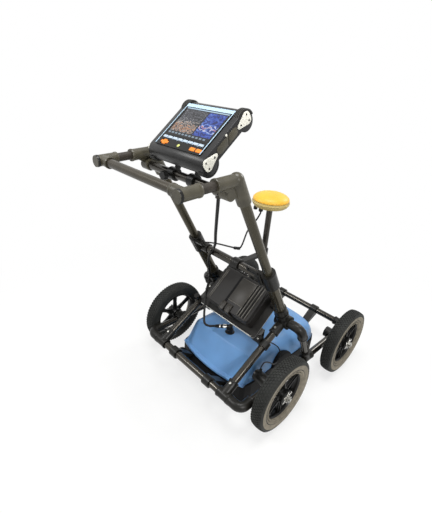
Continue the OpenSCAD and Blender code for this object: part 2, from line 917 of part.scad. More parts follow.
module sensor_base() {
    front = sensor_rear + sensor_l;
    side = [for (s = skid_side_shares) [sensor_rear - lip + (sensor_l + 2 * lip) * s[0],
        ground_gap + (seam_h - fit - ground_gap) * s[1]]];
    color(black) cart() {
        intersection() {
            across(-sensor_w, sensor_w) polygon(side);
            linear_extrude(sensor_h) polygon(sensor_plan(lip));
        }
        for (x = [-hanger_x, hanger_x]) {
            sensor_lug(x, sensor_rear + lug_root, -lug_root - lug_reach);
            sensor_lug(x, front - lug_root, lug_root + lug_reach);
        }
    }
}

module antenna_boards() {
    color(board_green) cart() for (share = [pocket_rear_share, pocket_front_share])
        translate([-pocket_w / 2, sensor_rear + sensor_l * share, seam_h - fit + board_gap])
            translate([board_margin, board_margin, 0])
                cube([pocket_w - 2 * board_margin, pocket_l - 2 * board_margin, board_t]);
}

// A collar on a base bar, with a strap down to the lug of the sensor
module hanger(x, bar_y, lug_y, way) {
    seat_z = seam_h - lug_drop + fit;
    foot_y = lug_y + way * hanger_seat;
    translate([x, 0, 0]) difference() {
        union() {
            translate([0, bar_y, bar_z]) rod_x(-hanger_w / 2, hanger_w / 2, hanger_d);
            across(-lug_w / 2, lug_w / 2) polygon([
                [foot_y, seat_z], [foot_y + way * hanger_foot, seat_z],
                [foot_y + way * hanger_foot, seat_z + hanger_t], [bar_y + way * hanger_d / 2, bar_z],
                [bar_y, bar_z - hanger_d / 2], [foot_y, seat_z + hanger_t]]);
        }
        translate([0, bar_y, bar_z]) rod_x(-hanger_w, hanger_w, tube_d + 2 * fit);
    }
}

module sensor_hangers() {
    color(olive) cart() for (x = [-hanger_x, hanger_x]) {
        hanger(x, rear_bar_y, sensor_rear - lug_reach, 1);
        hanger(x, front_bar_y, sensor_rear + sensor_l + lug_reach, -1);
    }
}

// Right-angle plug on the sensor's socket, towards the end of the main cable
module cable_plug() {
    seat = [0, socket_fwd, sensor_h + socket_h + fit];
    knee = [0, socket_fwd, main_route[len(main_route) - 1][2]];
    end = main_route[len(main_route) - 1];
    run = unit(end - knee);
    color(steel) cart() {
        rod(seat, knee, socket_d - 2 * rim_wall);
        translate(knee) sphere(d = socket_d - 2 * rim_wall);
        rod(knee, end - fit * run, plug_d);
        rod(end - 2 * plug_ring_w * run, end - plug_ring_w * run, plug_ring_d);
    }
}

module main_cable() {
    color(black) cart() cable(main_route, main_cable_d, [1, 0, 0]);
}

// Positioning antenna

module gps_arm() {
    at = apex + cross_at * leg_dir;
    post_y = at[1] + gps_arm_len;
    color(olive) cart() translate([gps_x, 0, at[2]])
        difference() {
            union() {
                translate([0, at[1], 0]) rod_x(-gps_ring_w / 2, gps_ring_w / 2, gps_ring_d);
                translate([-gps_arm_w / 2, at[1], -gps_arm_t / 2]) cube([gps_arm_w, gps_arm_len, gps_arm_t]);
                translate([0, post_y, -collar_below]) cylinder(d = collar_d, h = collar_h);
            }
            translate([0, at[1], 0]) rod_x(-gps_ring_w, gps_ring_w, cross_d + 2 * fit);
            translate([0, post_y, -collar_below + tube_wall]) cylinder(d = post_d + 2 * fit, h = collar_h);
        }
}

module gps_post() {
    at = apex + cross_at * leg_dir;
    foot = [gps_x, at[1] + gps_arm_len, at[2] - collar_below + tube_wall + fit];
    color(black) cart() pipe(foot, foot + [0, 0, post_h + collar_below], post_d, tube_wall);
}

function antenna_seat() = let (at = apex + cross_at * leg_dir)
    [gps_x, at[1] + gps_arm_len, at[2] + post_h + tube_wall + 2 * fit];

module antenna_base() {
    r = antenna_d / 2;
    neck_r = antenna_neck_d / 2;
    color(dull_yellow) cart() translate(antenna_seat()) {
        rotate_extrude() polygon([[0, 0], [neck_r, 0], [neck_r, antenna_neck_h],
            [r * antenna_foot_share, antenna_neck_h], [r, antenna_rim_h], [r, antenna_rim_h + antenna_edge_h],
            [0, antenna_rim_h + antenna_edge_h]]);
        translate([-antenna_plug_in, -antenna_plug_in, antenna_neck_h - antenna_plug_h])
            cylinder(d = antenna_plug_d, h = antenna_plug_h + over);
    }
}

module antenna_dome() {
    r = antenna_d / 2;
    bulge = (r * r + antenna_dome_h * antenna_dome_h) / (2 * antenna_dome_h);
    color(yellow) cart() translate(antenna_seat() + [0, 0, antenna_rim_h + antenna_edge_h + fit])
        intersection() {
            cylinder(d = antenna_d, h = antenna_dome_h);
            translate([0, 0, antenna_dome_h - bulge]) sphere(r = bulge);
        }
}

module gps_cable() {
    color(black) cart() cable(gps_route, gps_cable_d, [0, 1, 0]);
}

// Shelf and case

module shelf_plate() {
    color(grey) cart() shelf_frame() {
        round_box([-shelf_half, 0], [2 * shelf_half, shelf_l], case_round, 0, shelf_t);
        translate([case_round - shelf_half, 0, 0])
            cube([2 * (shelf_half - case_round), shelf_lip_t, shelf_t + shelf_lip]);
    }
}

// The pad of a lower clamp stops short of the knob
low_pad_out = leg_x - knob_d / 2 - clamp_pad_gap;

// Where the lower clamps sit on the struts
function low_clamp_place() = let (run = unit(apex - strut_foot))
    strut_foot + (low_clamp_y - rear_bar_y) / run[1] * run;

module low_shelf_clamp(side) {
    run = unit(apex - strut_foot);
    at = on_side(low_clamp_place(), side * leg_x);
    difference() {
        union() {
            rod(at - clamp_ring_w / 2 * run, at + clamp_ring_w / 2 * run, clamp_ring_d);
            intersection() {
                shelf_frame() translate([side > 0 ? clamp_pad_in : -low_pad_out, 0, -shelf_z / 2])
                    cube([low_pad_out - clamp_pad_in, shelf_l, shelf_z / 2 - fit]);
                translate([-leg_x, at[1] - clamp_pad_l / 2, at[2] - clamp_ring_d / 2])
                    cube([2 * leg_x, clamp_pad_l, shelf_z]);
            }
        }
        rod(at - clamp_ring_d * run, at + clamp_ring_d * run, tube_d + 2 * fit);
    }
}

module high_shelf_clamp(side) {
    difference() {
        union() {
            leg_frame(side) translate([0, 0, high_clamp_low]) cylinder(d = high_clamp_d, h = high_clamp_w);
            shelf_frame()
                translate([side > 0 ? clamp_pad_in : -leg_x, shelf_l * high_pad_share, shelf_t + fit])
                    cube([leg_x - clamp_pad_in, clamp_pad_l, high_pad_t]);
        }
        leg_frame(side) cylinder(d = sleeve_d + 2 * fit, h = sleeve_top);
    }
}

// Where the two knob screws start, and which way they point
function low_knob() = let (run = unit(apex - strut_foot))
    [on_side(low_clamp_place(), -leg_x), [0, -run[2], run[1]], clamp_ring_d / 2];

function high_knob() = [on_side(apex + (high_clamp_low + high_clamp_w / 2) * leg_dir, -leg_x),
    [0, -cos(leg_lean), -sin(leg_lean)], high_clamp_d / 2];

module knob_stem(k) {
    seat = k[0] + k[2] * k[1];
    rod(seat - over * k[1], seat + knob_stem_h * k[1], knob_stem_d);
    rod(seat, seat + (knob_stem_h + knob_h / 2) * k[1], knob_pin_d);
}

module knob_at(k) {
    translate(k[0] + (k[2] + knob_stem_h + knob_gap) * k[1]) rotate(aim(k[1])) lobed_knob();
}

module shelf_clamps() {
    color(olive) cart() {
        for (side = SIDES) {
            low_shelf_clamp(side);
            high_shelf_clamp(side);
        }
        knob_stem(low_knob());
        knob_stem(high_knob());
    }
}

module upper_shelf_knob() {
    color(black) cart() knob_at(high_knob());
}

module lower_shelf_knob() {
    color(black) cart() knob_at(low_knob());
}

// The case's own frame: y up the slope from its lower end, z from its underside
module case_frame() {
    shelf_frame() translate([case_x, case_y, shelf_t + fit]) children();
}

hinge_y = case_l + band_t + knuckle_d / 2 + knuckle_gap;
hinge_z = case_base_h;
latch_y = -latch_eye_d / 2 - latch_room;

module case_box(z0, z1, inset) {
    size = [case_w - 2 * inset, case_l - 2 * inset];
    round_box([-size[0] / 2, inset], size, case_round - inset, z0, z1);
}

// Hinge knuckles of one leaf, with the web that ties them to the wall
module hinge_knuckle(z0, h) {
    translate([0, hinge_y, hinge_z]) rod_x(-knuckle_w / 2, knuckle_w / 2, knuckle_d);
    translate([-knuckle_w / 2, case_l - case_wall, z0]) cube([knuckle_w, hinge_y - case_l + case_wall, h]);
}

// An ear on the lower end that holds the latch's pin
module latch_ear(side) {
    translate([side * (latch_w + latch_ear_w) / 2 + side * latch_room, latch_y, latch_pivot_z]) {
        rod_x(-latch_ear_w / 2, latch_ear_w / 2, latch_eye_d);
        translate([-latch_ear_w / 2, 0, -latch_eye_d / 2])
            cube([latch_ear_w, latch_eye_d + case_wall, latch_eye_d]);
    }
}

// An ear on the upper end with the stub that the carrying handle turns on
module handle_ear(side) {
    translate([side * (handle_span - handle_ear_w) / 2, case_l + handle_eye_d / 2, handle_z]) {
        rod_x(-handle_ear_w / 2, handle_ear_w / 2, handle_eye_d);
        rod_x(0, side * handle_pin_l, handle_pin_d);
        translate([-handle_ear_w / 2, -handle_eye_d / 2 - case_wall, -handle_eye_d / 2])
            cube([handle_ear_w, handle_eye_d / 2 + case_wall, handle_eye_d]);
    }
}

module case_band(z0) {
    case_box(z0, z0 + band_h, -band_t);
}

module case_base() {
    color(black) cart() case_frame()
        difference() {
            union() {
                case_box(0, case_base_h, 0);
                case_band(case_base_h - band_h);
                for (x = [-knuckle_x, knuckle_x]) translate([x, 0, 0]) {
                    hinge_knuckle(case_base_h - band_h, band_h);
                    translate([0, hinge_y, hinge_z]) rod_x(-knuckle_w, knuckle_w, knuckle_pin_d);
                }
                for (side = SIDES) {
                    latch_ear(side);
                    handle_ear(side);
                }
                translate([0, latch_y, latch_pivot_z])
                    rod_x(-latch_w / 2 - latch_ear_w, latch_w / 2 + latch_ear_w, latch_pin_d);
            }
            case_box(case_wall, case_base_h + over, case_wall);
        }
}

module battery_pack() {
    color(grey) cart() case_frame()
        translate([battery_x - battery_w / 2, case_wall * 2, case_wall + fit])
            difference() {
                cube([battery_w, battery_l, battery_h]);
                translate([battery_w / 2 - strap_w / 2, -over, battery_h - strap_h])
                    cube([strap_w, battery_l + 2 * over, strap_h + over]);
            }
}

module case_lid() {
    low = case_base_h + seam_gap;
    top = case_base_h + case_lid_h;
    color(black) cart() case_frame()
        difference() {
            union() {
                case_box(low, top, 0);
                case_band(low);
                translate([case_panel_x - case_panel_w / 2, case_round, top - over])
                    cube([case_panel_w, case_l - 2 * case_round, case_panel_t + over]);
                for (i = [0:case_rib_count - 1])
                    translate([case_rib_from + i * case_rib_step, case_round / 2, top - over])
                        translate([-case_rib_w / 2, 0, 0])
                            cube([case_rib_w, case_l - case_round, case_rib + over]);
                for (x = [-knuckle_x, knuckle_x], s = SIDES)
                    translate([x + s * (knuckle_w + knuckle_gap), 0, 0])
                        hinge_knuckle(low, band_h - seam_gap);
            }
            case_box(low - over, top - case_wall, case_wall);
            for (x = [-knuckle_x, knuckle_x])
                translate([x, hinge_y, hinge_z])
                    rod_x(-2 * knuckle_w, 2 * knuckle_w, knuckle_pin_d + 2 * run_gap);
        }
}

// Wide latch on the lower end: turns on the base and covers the lid's band
module case_latch() {
    color(olive) cart() case_frame()
        difference() {
            union() {
                translate([0, latch_y, latch_pivot_z]) rod_x(-latch_w / 2, latch_w / 2, latch_eye_d);
                translate([-latch_w / 2, -latch_t - latch_room - band_t, latch_pivot_z])
                    cube([latch_w, latch_t, latch_reach]);
            }
            translate([0, latch_y, latch_pivot_z]) rod_x(-latch_w, latch_w, latch_pin_d + 2 * run_gap);
        }
}

module case_handle() {
    y = case_l + handle_eye_d / 2;
    x = handle_span / 2 + handle_ear_w / 2 + latch_room;
    color(black) cart() case_frame()
        difference() {
            union() {
                for (side = SIDES) {
                    eye = [side * x, y, handle_z];
                    translate(eye) rod_x(-handle_ear_w / 2, handle_ear_w / 2, handle_eye_d);
                    rod(eye, eye + [0, handle_out, 0], handle_ear_w);
                    translate(eye + [0, handle_out, 0]) sphere(d = handle_bar_d);
                }
                rod([-x, y + handle_out, handle_z], [x, y + handle_out, handle_z], handle_bar_d);
            }
            for (side = SIDES)
                translate([side * x, y, handle_z])
                    rod_x(-handle_ear_w, handle_ear_w, handle_pin_d + 2 * run_gap);
        }
}

// Handle frame

module leg_tubes() {
    color(olive) cart() for (side = SIDES) leg_frame(side)
        difference() {
            translate([0, 0, tube_low]) cylinder(d = leg_d, h = leg_len - tube_low - elbow_web);
            translate([0, 0, tube_low - over])
                cylinder(d = leg_d - 2 * tube_wall, h = leg_len - tube_low - elbow_web + 2 * over);
        }
}

module handle_elbows() {
    color(olive) cart() for (side = SIDES) {
        b = on_side(bend, side * leg_x);
        bar = on_side(bar_at, side * leg_x);
        difference() {
            union() {
                translate(b) sphere(d = sleeve_d);
                rod(b, b - elbow_reach * leg_dir, sleeve_d);
                rod(b, b + elbow_reach * arm_dir, elbow_arm_d);
                translate([side * leg_x, 0, 0]) across(-gusset_t / 2, gusset_t / 2)
                    polygon([for (v = [0 * leg_dir, -leg_dir, arm_dir])
                        let (p = bend + elbow_reach * v)
                        [p[1], p[2]]]);
                translate(bar) rod_x(-side * bar_boss_w, side * gusset_t / 2, bar_boss_d);
            }
            rod(b - elbow_web * leg_dir, b - (elbow_reach + over) * leg_dir, leg_d + 2 * fit);
            rod(b + elbow_web * arm_dir, b + (elbow_reach + over) * arm_dir, grip_d + 2 * fit);
            translate(bar) rod_x(-side * (bar_boss_w + over), -side * gusset_t / 2, grip_d + 2 * fit);
        }
    }
}

module arm_grips() {
    color(black) cart() for (side = SIDES) {
        b = on_side(bend, side * leg_x);
        far = arm_len - tee_seat - tee_d / 2;
        pipe(b + elbow_web * arm_dir, b + far * arm_dir, grip_d, tube_wall);
    }
}

module handle_tees() {
    color(olive) cart() for (side = SIDES) {
        b = on_side(bend, side * leg_x);
        bar = b + (arm_len - tee_seat) * arm_dir;
        cap = b + arm_len * arm_dir;
        mouth = b + (arm_len - tee_seat - tee_reach) * arm_dir;
        difference() {
            union() {
                rod(mouth, cap, tee_d);
                translate(bar) rod_x(0, -side * tee_reach, tee_branch_d);
            }
            rod(mouth - over * arm_dir, bar - tee_d / 2 * arm_dir, grip_d + 2 * fit);
            translate(bar) rod_x(-side * tee_d / 2, -side * (tee_reach + over), grip_d + 2 * fit);
        }
    }
}

module handlebar() {
    at = bend + (arm_len - tee_seat) * arm_dir;
    color(black) cart()
        pipe([tee_d / 2 - leg_x, at[1], at[2]], [leg_x - tee_d / 2, at[1], at[2]], grip_d, tube_wall);
}

module console_bar() {
    half = leg_x - gusset_t / 2;
    color(black) cart() translate(bar_at) {
        pipe([-half, 0, 0], [half, 0, 0], grip_d, tube_wall);
        difference() {
            union() {
                rod_x(clip_x - clip_w / 2, clip_x + clip_w / 2, clip_d);
                translate([clip_x, 0, fit - main_drop]) cylinder(d = clip_gland_d, h = main_drop);
            }
            rod_x(-leg_x, leg_x, grip_d + 2 * fit);
        }
    }
}

// Console

// Clamps on the console bar and carries the console's back
module console_bracket() {
    knob = tilt_knob_place();
    color(black) cart()
        difference() {
            union() {
                console_frame() translate([0, bracket_plate_low, -console_t - fit - bracket_plate_t])
                    translate([-bracket_plate_w / 2, 0, 0])
                        cube([bracket_plate_w, bracket_plate_h, bracket_plate_t]);
                for (x = [-bracket_x, bracket_x]) {
                    translate(on_side(bar_at, x))
                        rod_x(-bracket_ring_w / 2, bracket_ring_w / 2, bracket_ring_d);
                    bracket_web(x);
                }
                knob_stem(knob);
            }
            translate(bar_at) rod_x(-console_w, console_w, grip_d + 2 * run_gap);
        }
}

// The web runs from the clamp ring to the plate's two edges
module bracket_web(x) {
    back = -console_t - fit - bracket_plate_t / 2;
    low = face_point(bracket_plate_low + bracket_plate_t, back);
    high = face_point(bracket_plate_low + bracket_plate_h - bracket_plate_t, back);
    across(x - bracket_web_t / 2, x + bracket_web_t / 2)
        polygon([[bar_at[1], bar_at[2]], [low[1], low[2]], [high[1], high[2]],
            [bar_at[1] + grip_d / 2, bar_at[2]]]);
}

// A point of the console's face frame in the cart's frame
function face_point(y, z) = bend + [0, y * cos(console_tilt) - z * sin(console_tilt) - console_back,
    y * sin(console_tilt) + z * cos(console_tilt) + console_rise];

function tilt_knob_place() = [on_side(bar_at, -bracket_x), [0, -1, 0], bracket_ring_d / 2];

module tilt_knob() {
    color(black) cart() knob_at(tilt_knob_place());
}

roll_high = face_h - roll_high_in;

module console_rolls(d, x0, x1) {
    for (y = [roll_low, roll_high])
        translate([0, y, -roll_r]) rod_x(x0, x1, d);
}

module key_pocket(p, s) {
    translate([p[0] - s[0] / 2 - key_flange - key_gap, p[1] - s[1] / 2 - key_flange - key_gap, -pocket_depth])
        cube([s[0] + 2 * key_flange + 2 * key_gap, s[1] + 2 * key_flange + 2 * key_gap, pocket_depth + over]);
}

module console_shell() {
    half = console_w / 2 - plate_t;
    color(black) cart() console_frame()
        difference() {
            union() {
                translate([-half, roll_low, -console_t]) cube([2 * half, roll_high - roll_low, console_t]);
                console_rolls(2 * roll_r, -half, half);
            }
            for (x = [fn_left_x, fn_right_x]) key_pocket([x, fn_y], [fn_w, fn_h]);
            translate([0, 0, -pocket_depth]) pad_form(key_flange + key_gap, pocket_depth + over);
            translate([0, power_y, -pocket_depth])
                cylinder(d = power_d + 2 * key_flange + 2 * key_gap, h = pocket_depth + over);
        }
}

module console_bezel() {
    color(black) cart() console_frame()
        difference() {
            round_box([-face_w / 2, 0], [face_w, face_h], plate_r, fit, fit + bezel_t);
            translate([-glass_w / 2 - key_gap, glass_low - key_gap, 0])
                cube([glass_w + 2 * key_gap, glass_h + 2 * key_gap, bezel_t + over]);
            translate([-key_row_w / 2 - key_gap, key_row_low - key_gap, 0])
                cube([key_row_w + 2 * key_gap, key_row_h + 2 * key_gap, bezel_t + over]);
            pad_form(key_gap, bezel_t + over);
            translate([0, power_y, 0]) cylinder(d = power_d + 2 * key_gap, h = bezel_t + over);
            for (x = [fn_left_x, fn_right_x])
                translate([x - fn_w / 2 - key_gap, fn_y - fn_h / 2 - key_gap, 0])
                    cube([fn_w + 2 * key_gap, fn_h + 2 * key_gap, bezel_t + over]);
        }
}

module screen_glass() {
    color(screen_blue) cart() console_frame()
        translate([-glass_w / 2, glass_low, fit]) cube([glass_w, glass_h, glass_t]);
}

// One printed strip with a row of raised key pads
module soft_keys() {
    pitch = key_row_w / key_count;
    color(white) cart() console_frame() {
        translate([-key_row_w / 2, key_row_low, fit]) cube([key_row_w, key_row_h, key_web_t]);
        for (i = [0:key_count - 1])
            translate([pitch * i - key_row_w / 2, key_row_low, fit])
                translate((1 - key_pad_share) / 2 * [pitch, key_row_h, 0])
                    cube([pitch * key_pad_share, key_row_h * key_pad_share, bezel_t + key_proud]);
    }
}

key_low = -key_flange_t - key_gap;
key_top = fit + bezel_t + key_proud;

module round_key(p, d) {
    translate([p[0], p[1], 0]) {
        translate([0, 0, key_low]) cylinder(d = d, h = key_top - key_low);
        translate([0, 0, key_low]) cylinder(d = d + 2 * key_flange, h = key_flange_t);
    }
}

// The arrow pad's outline, wide with round ends
module pad_form(grow, h) {
    for (x = SIDES) translate([pad_x + x * pad_span / 2, pad_y, 0]) cylinder(d = pad_d + 2 * grow, h = h);
    translate([pad_x - pad_span / 2, pad_y - pad_d / 2 - grow, 0]) cube([pad_span, pad_d + 2 * grow, h]);
}

module function_key(x) {
    translate([x, fn_y, 0]) {
        translate([-fn_w / 2, -fn_h / 2, key_low]) cube([fn_w, fn_h, key_top - key_low]);
        translate([-fn_w / 2 - key_flange, -fn_h / 2 - key_flange, key_low])
            cube([fn_w + 2 * key_flange, fn_h + 2 * key_flange, key_flange_t]);
    }
}

module arrow_pad() {
    color(orange) cart() console_frame()
        difference() {
            translate([0, 0, key_low]) {
                pad_form(0, key_top - key_low);
                pad_form(key_flange, key_flange_t);
            }
            translate([pad_x, pad_y, key_top - key_proud / 2]) {
                cylinder(d = pad_d * pad_hub_share, h = over);
                for (x = SIDES)
                    translate([x * pad_span / 2 - key_gap, -pad_d, 0]) cube([2 * key_gap, 2 * pad_d, over]);
            }
        }
}

module left_function_key() {
    color(orange) cart() console_frame() function_key(fn_left_x);
}

module right_function_key() {
    color(orange) cart() console_frame() function_key(fn_right_x);
}

module power_key() {
    color(lime) cart() console_frame() round_key([0, power_y], power_d);
}

// Ribbed rubber sleeves round the four corners
module corner_bumpers() {
    inner = face_w / 2 + fit;
    outer = console_w / 2 - plate_t;
    color(rubber) cart() console_frame() for (side = SIDES, top = [0, 1])
        translate([0, top ? roll_high : roll_low, -roll_r])
            difference() {
                union() {
                    rod_x(side * inner, side * outer, 2 * (roll_r + bumper_t));
                    for (i = [0:bumper_ribs - 1])
                        translate([side * (inner + bumper_rib_step * (i + rib_start_share)), 0, 0])
                            rod_x(0, side * bumper_rib_w, 2 * (roll_r + bumper_t + bumper_rib));
                }
                rod_x(-console_w, console_w, 2 * (roll_r + fit));
                translate([-console_w, top ? -face_h : 0, -roll_r - fit])
                    cube([2 * console_w, face_h, 2 * (roll_r + fit)]);
            }
}

// White rounded-triangle plates on the ends of the rolls
module end_plates() {
    x = console_w / 2 - plate_t + fit;
    color(white) cart() console_frame() for (side = SIDES, top = [0, 1])
        translate([side > 0 ? x : -x - plate_t + fit, top ? roll_high : roll_low, -plate_back])
            mirror([0, top, 0]) across(0, plate_t - fit) hull() {
                for (z = [-plate_half, plate_half]) translate([-plate_half, z]) circle(r = plate_r, $fn = 32);
                translate([plate_tip, 0]) circle(r = plate_r, $fn = 32);
            }
}

cross_bars();
side_rails();
frame_fittings();
struts();
apex_fittings();
leg_sleeves();
leg_clamps();
crossbar();
axle_blocks();
axle_hardware();
odometer_encoder();
odometer_cable();
sensor_hangers();
sensor_base();
sensor_shell();
antenna_boards();
cable_plug();
main_cable();
gps_arm();
gps_post();
antenna_base();
antenna_dome();
gps_cable();
shelf_plate();
shelf_clamps();
case_base();
battery_pack();
case_lid();
case_latch();
case_handle();
left_clamp_lever();
right_clamp_lever();
upper_shelf_knob();
lower_shelf_knob();
leg_tubes();
handle_elbows();
arm_grips();
handle_tees();
handlebar();
console_bar();
console_bracket();
console_shell();
console_bezel();
screen_glass();
corner_bumpers();
end_plates();
soft_keys();
tilt_knob();
arrow_pad();
left_function_key();
right_function_key();
power_key();
rear_left_tyre();
rear_right_tyre();
front_left_tyre();
front_right_tyre();
rear_left_rim();
rear_right_rim();
front_left_rim();
front_right_rim();
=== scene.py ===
"""Looks of a ground radar push cart: pieces and finishes modelled round its fixed frame."""
import json
from contextlib import contextmanager
from math import cos, pi, radians, sin

import bpy
from bpy.props import FloatProperty, FloatVectorProperty, IntProperty, PointerProperty
from mathutils import Matrix, Vector


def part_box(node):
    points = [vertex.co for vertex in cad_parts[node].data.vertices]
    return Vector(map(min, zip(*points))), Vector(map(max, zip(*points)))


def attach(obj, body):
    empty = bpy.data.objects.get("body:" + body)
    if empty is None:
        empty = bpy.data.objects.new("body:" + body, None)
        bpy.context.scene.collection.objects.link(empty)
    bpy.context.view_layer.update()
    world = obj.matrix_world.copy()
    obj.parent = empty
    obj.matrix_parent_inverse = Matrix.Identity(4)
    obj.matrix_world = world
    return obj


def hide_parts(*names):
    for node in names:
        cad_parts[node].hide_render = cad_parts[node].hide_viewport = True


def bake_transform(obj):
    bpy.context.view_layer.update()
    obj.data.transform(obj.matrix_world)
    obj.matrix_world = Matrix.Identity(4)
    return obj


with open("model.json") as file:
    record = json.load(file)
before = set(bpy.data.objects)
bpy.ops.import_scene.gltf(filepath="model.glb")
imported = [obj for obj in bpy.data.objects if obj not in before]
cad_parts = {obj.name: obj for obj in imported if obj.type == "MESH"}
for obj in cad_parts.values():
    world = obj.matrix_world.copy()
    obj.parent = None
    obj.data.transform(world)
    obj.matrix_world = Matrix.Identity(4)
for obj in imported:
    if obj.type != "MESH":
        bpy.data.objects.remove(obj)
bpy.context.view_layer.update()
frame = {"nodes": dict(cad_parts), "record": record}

bl_info = {
    "name": "Radar cart looks",
    "version": (1, 0, 0),
    "blender": (4, 5, 0),
    "location": "3D View > Sidebar > Cart",
    "description": "Models and finishes the pieces of a ground radar push cart round its fixed frame",
    "category": "Object",
}

MM = 0.001
SIDES = (-1, 1)
ORIGIN = Vector((0, 0, 0))
JOINTS = {joint["name"]: joint for joint in frame["record"]["behaviour"]["joints"]}


# Places, worked out from the frame

def middle(node):
    """Middle of a node's box, in metres."""
    low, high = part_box(node)
    return (low + high) / 2


def joint_place(name):
    """Where a joint sits, in metres."""
    return Vector(JOINTS[name]["pos_m"])


def slope_frame(node, tilt, inside):
    """Millimetre frame of a sloped unit, from a node whose middle lies at a known point inside it."""
    turn = Matrix.Rotation(radians(tilt), 4, "X")
    back = Matrix.Translation(-Vector(inside))
    return Matrix.Translation(middle(node)) @ turn @ Matrix.Scale(MM, 4) @ back


def facing(side):
    """Turn that lays a piece's +Z along +X for side 1, or along -X for side -1."""
    return Matrix.Rotation(pi / 2 * side, 4, "Y")


def wheel_frame(name):
    """Millimetre frame of a wheel, with +Z outwards along its axle."""
    side = 1 if "right" in name else -1
    return Matrix.Translation(joint_place(name + "_spin")) @ facing(side) @ Matrix.Scale(MM, 4)


# Slopes of the console and the shelf in degrees, and where two nodes' middles lie in those units
CONSOLE_TILT = 40
SHELF_TILT = 40
SCREEN_MIDDLE = (0, 97, 1.25)
BATTERY_MIDDLE = (-34, 57, 27.15)
CART = Matrix.Scale(MM, 4)
IN_PLACE = Matrix.Identity(4)
REAR_AXLE_Y = joint_place("rear_left_spin").y / MM
CONSOLE = slope_frame("screen_glass", CONSOLE_TILT, SCREEN_MIDDLE)
CASE = slope_frame("battery_pack", SHELF_TILT, BATTERY_MIDDLE)
WHEELS = ("rear_left", "rear_right", "front_left", "front_right")


def from_rear_axle(points):
    """Points given from the rear axle, in the cart's own millimetres."""
    return [Vector((x, y + REAR_AXLE_Y, z)) for x, y, z in points]


def lying(point, way):
    """Frame of a turned piece at a point given from the rear axle, with its +Z along a direction."""
    turn = Vector(way).to_track_quat("Z", "Y").to_matrix().to_4x4()
    return CART @ Matrix.Translation(from_rear_axle([point])[0]) @ turn


# Modelling steps

def alone(piece):
    """Selects one piece and nothing else."""
    bpy.ops.object.select_all(action="DESELECT")
    piece.select_set(True)
    bpy.context.view_layer.objects.active = piece


def start(add, name, **settings):
    """Adds one primitive with nothing else selected, and names it."""
    bpy.ops.object.select_all(action="DESELECT")
    add(**settings)
    piece = bpy.context.object
    piece.name = name
    piece.data.name = name
    return piece


@contextmanager
def editing(piece, kind="FACE", pick=None):
    """Opens a piece for editing, with only what pick accepts selected."""
    alone(piece)
    bpy.ops.object.mode_set(mode="EDIT")
    bpy.ops.mesh.select_mode(type=kind)
    bpy.ops.mesh.select_all(action="DESELECT" if pick else "SELECT")
    if pick:
        bpy.ops.object.mode_set(mode="OBJECT")
        mesh = piece.data
        parts = {"FACE": mesh.polygons, "EDGE": mesh.edges, "VERT": mesh.vertices}[kind]
        for part in parts:
            part.select = pick(part)
        bpy.ops.object.mode_set(mode="EDIT")
    yield piece.data
    bpy.ops.object.mode_set(mode="OBJECT")


def modify(piece, kind, **settings):
    """Adds a modifier with its settings, and applies it."""
    alone(piece)
    modifier = piece.modifiers.new(kind.lower(), kind)
    for field, value in settings.items():
        setattr(modifier, field, value)
    bpy.ops.object.modifier_apply(modifier=modifier.name)
    return piece


def rounded(piece, width, steps=2, angle=30):
    """Rounds the edges that are sharper than an angle."""
    return modify(piece, "BEVEL", width=width, segments=steps, limit_method="ANGLE",
                  angle_limit=radians(angle))


def clean(piece, gap=0.001):
    """Merges doubled points, drops loose ones and points every face outwards."""
    with editing(piece):
        bpy.ops.mesh.remove_doubles(threshold=gap)
        bpy.ops.mesh.delete_loose(use_verts=True, use_edges=True, use_faces=False)
        bpy.ops.mesh.select_all(action="SELECT")
        bpy.ops.mesh.normals_make_consistent(inside=False)
    return piece


def block(name, low, high, edge=0, steps=2):
    """A box between two corners, with rounded edges."""
    low, high = Vector(low), Vector(high)
    piece = start(bpy.ops.mesh.primitive_cube_add, name, size=1, location=(low + high) / 2)
    piece.scale = high - low
    bpy.ops.object.transform_apply(location=True, rotation=True, scale=True)
    return rounded(piece, edge, steps) if edge else piece


def lathe(name, section, steps=48, turn=2 * pi):
    """Spins a closed section of (radius, height) points round Z; a part turn keeps its two end faces."""
    piece = start(bpy.ops.mesh.primitive_circle_add, name, vertices=len(section), radius=1)
    for point, (r, z) in zip(piece.data.vertices, section):
        point.co = (r, 0, z)
    with editing(piece, "VERT"):
        if turn < 2 * pi:
            bpy.ops.mesh.edge_face_add()
        bpy.ops.mesh.spin(steps=steps, angle=turn, center=ORIGIN, axis=(0, 0, 1))
    return clean(piece)


def prism(name, outline, low, high, axis="X", edge=0, steps=2):
    """Extrudes a flat outline between two places along an axis, and rounds its rims."""
    lay = {"X": lambda a, b: (low, a, b),
           "Y": lambda a, b: (a, low, b),
           "Z": lambda a, b: (a, b, low)}[axis]
    way = {"X": (1, 0, 0), "Y": (0, 1, 0), "Z": (0, 0, 1)}[axis]
    piece = start(bpy.ops.mesh.primitive_circle_add, name, vertices=len(outline), radius=1)
    for point, (a, b) in zip(piece.data.vertices, outline):
        point.co = lay(a, b)
    with editing(piece, "VERT"):
        bpy.ops.mesh.edge_face_add()
        bpy.ops.mesh.extrude_region_move(TRANSFORM_OT_translate={"value": Vector(way) * (high - low)})
    clean(piece)
    return rounded(piece, edge, steps) if edge else piece


def skin(name, columns, rows, place):
    """Bends a grid so that each crossing goes where place(column, row) says."""
    piece = start(bpy.ops.mesh.primitive_grid_add, name, x_subdivisions=columns - 1,
                  y_subdivisions=rows - 1, size=2)
    for point in piece.data.vertices:
        column = round((point.co.x + 1) / 2 * (columns - 1))
        row = round((point.co.y + 1) / 2 * (rows - 1))
        point.co = place(column, row)
    return piece


CORD_STEPS = 6


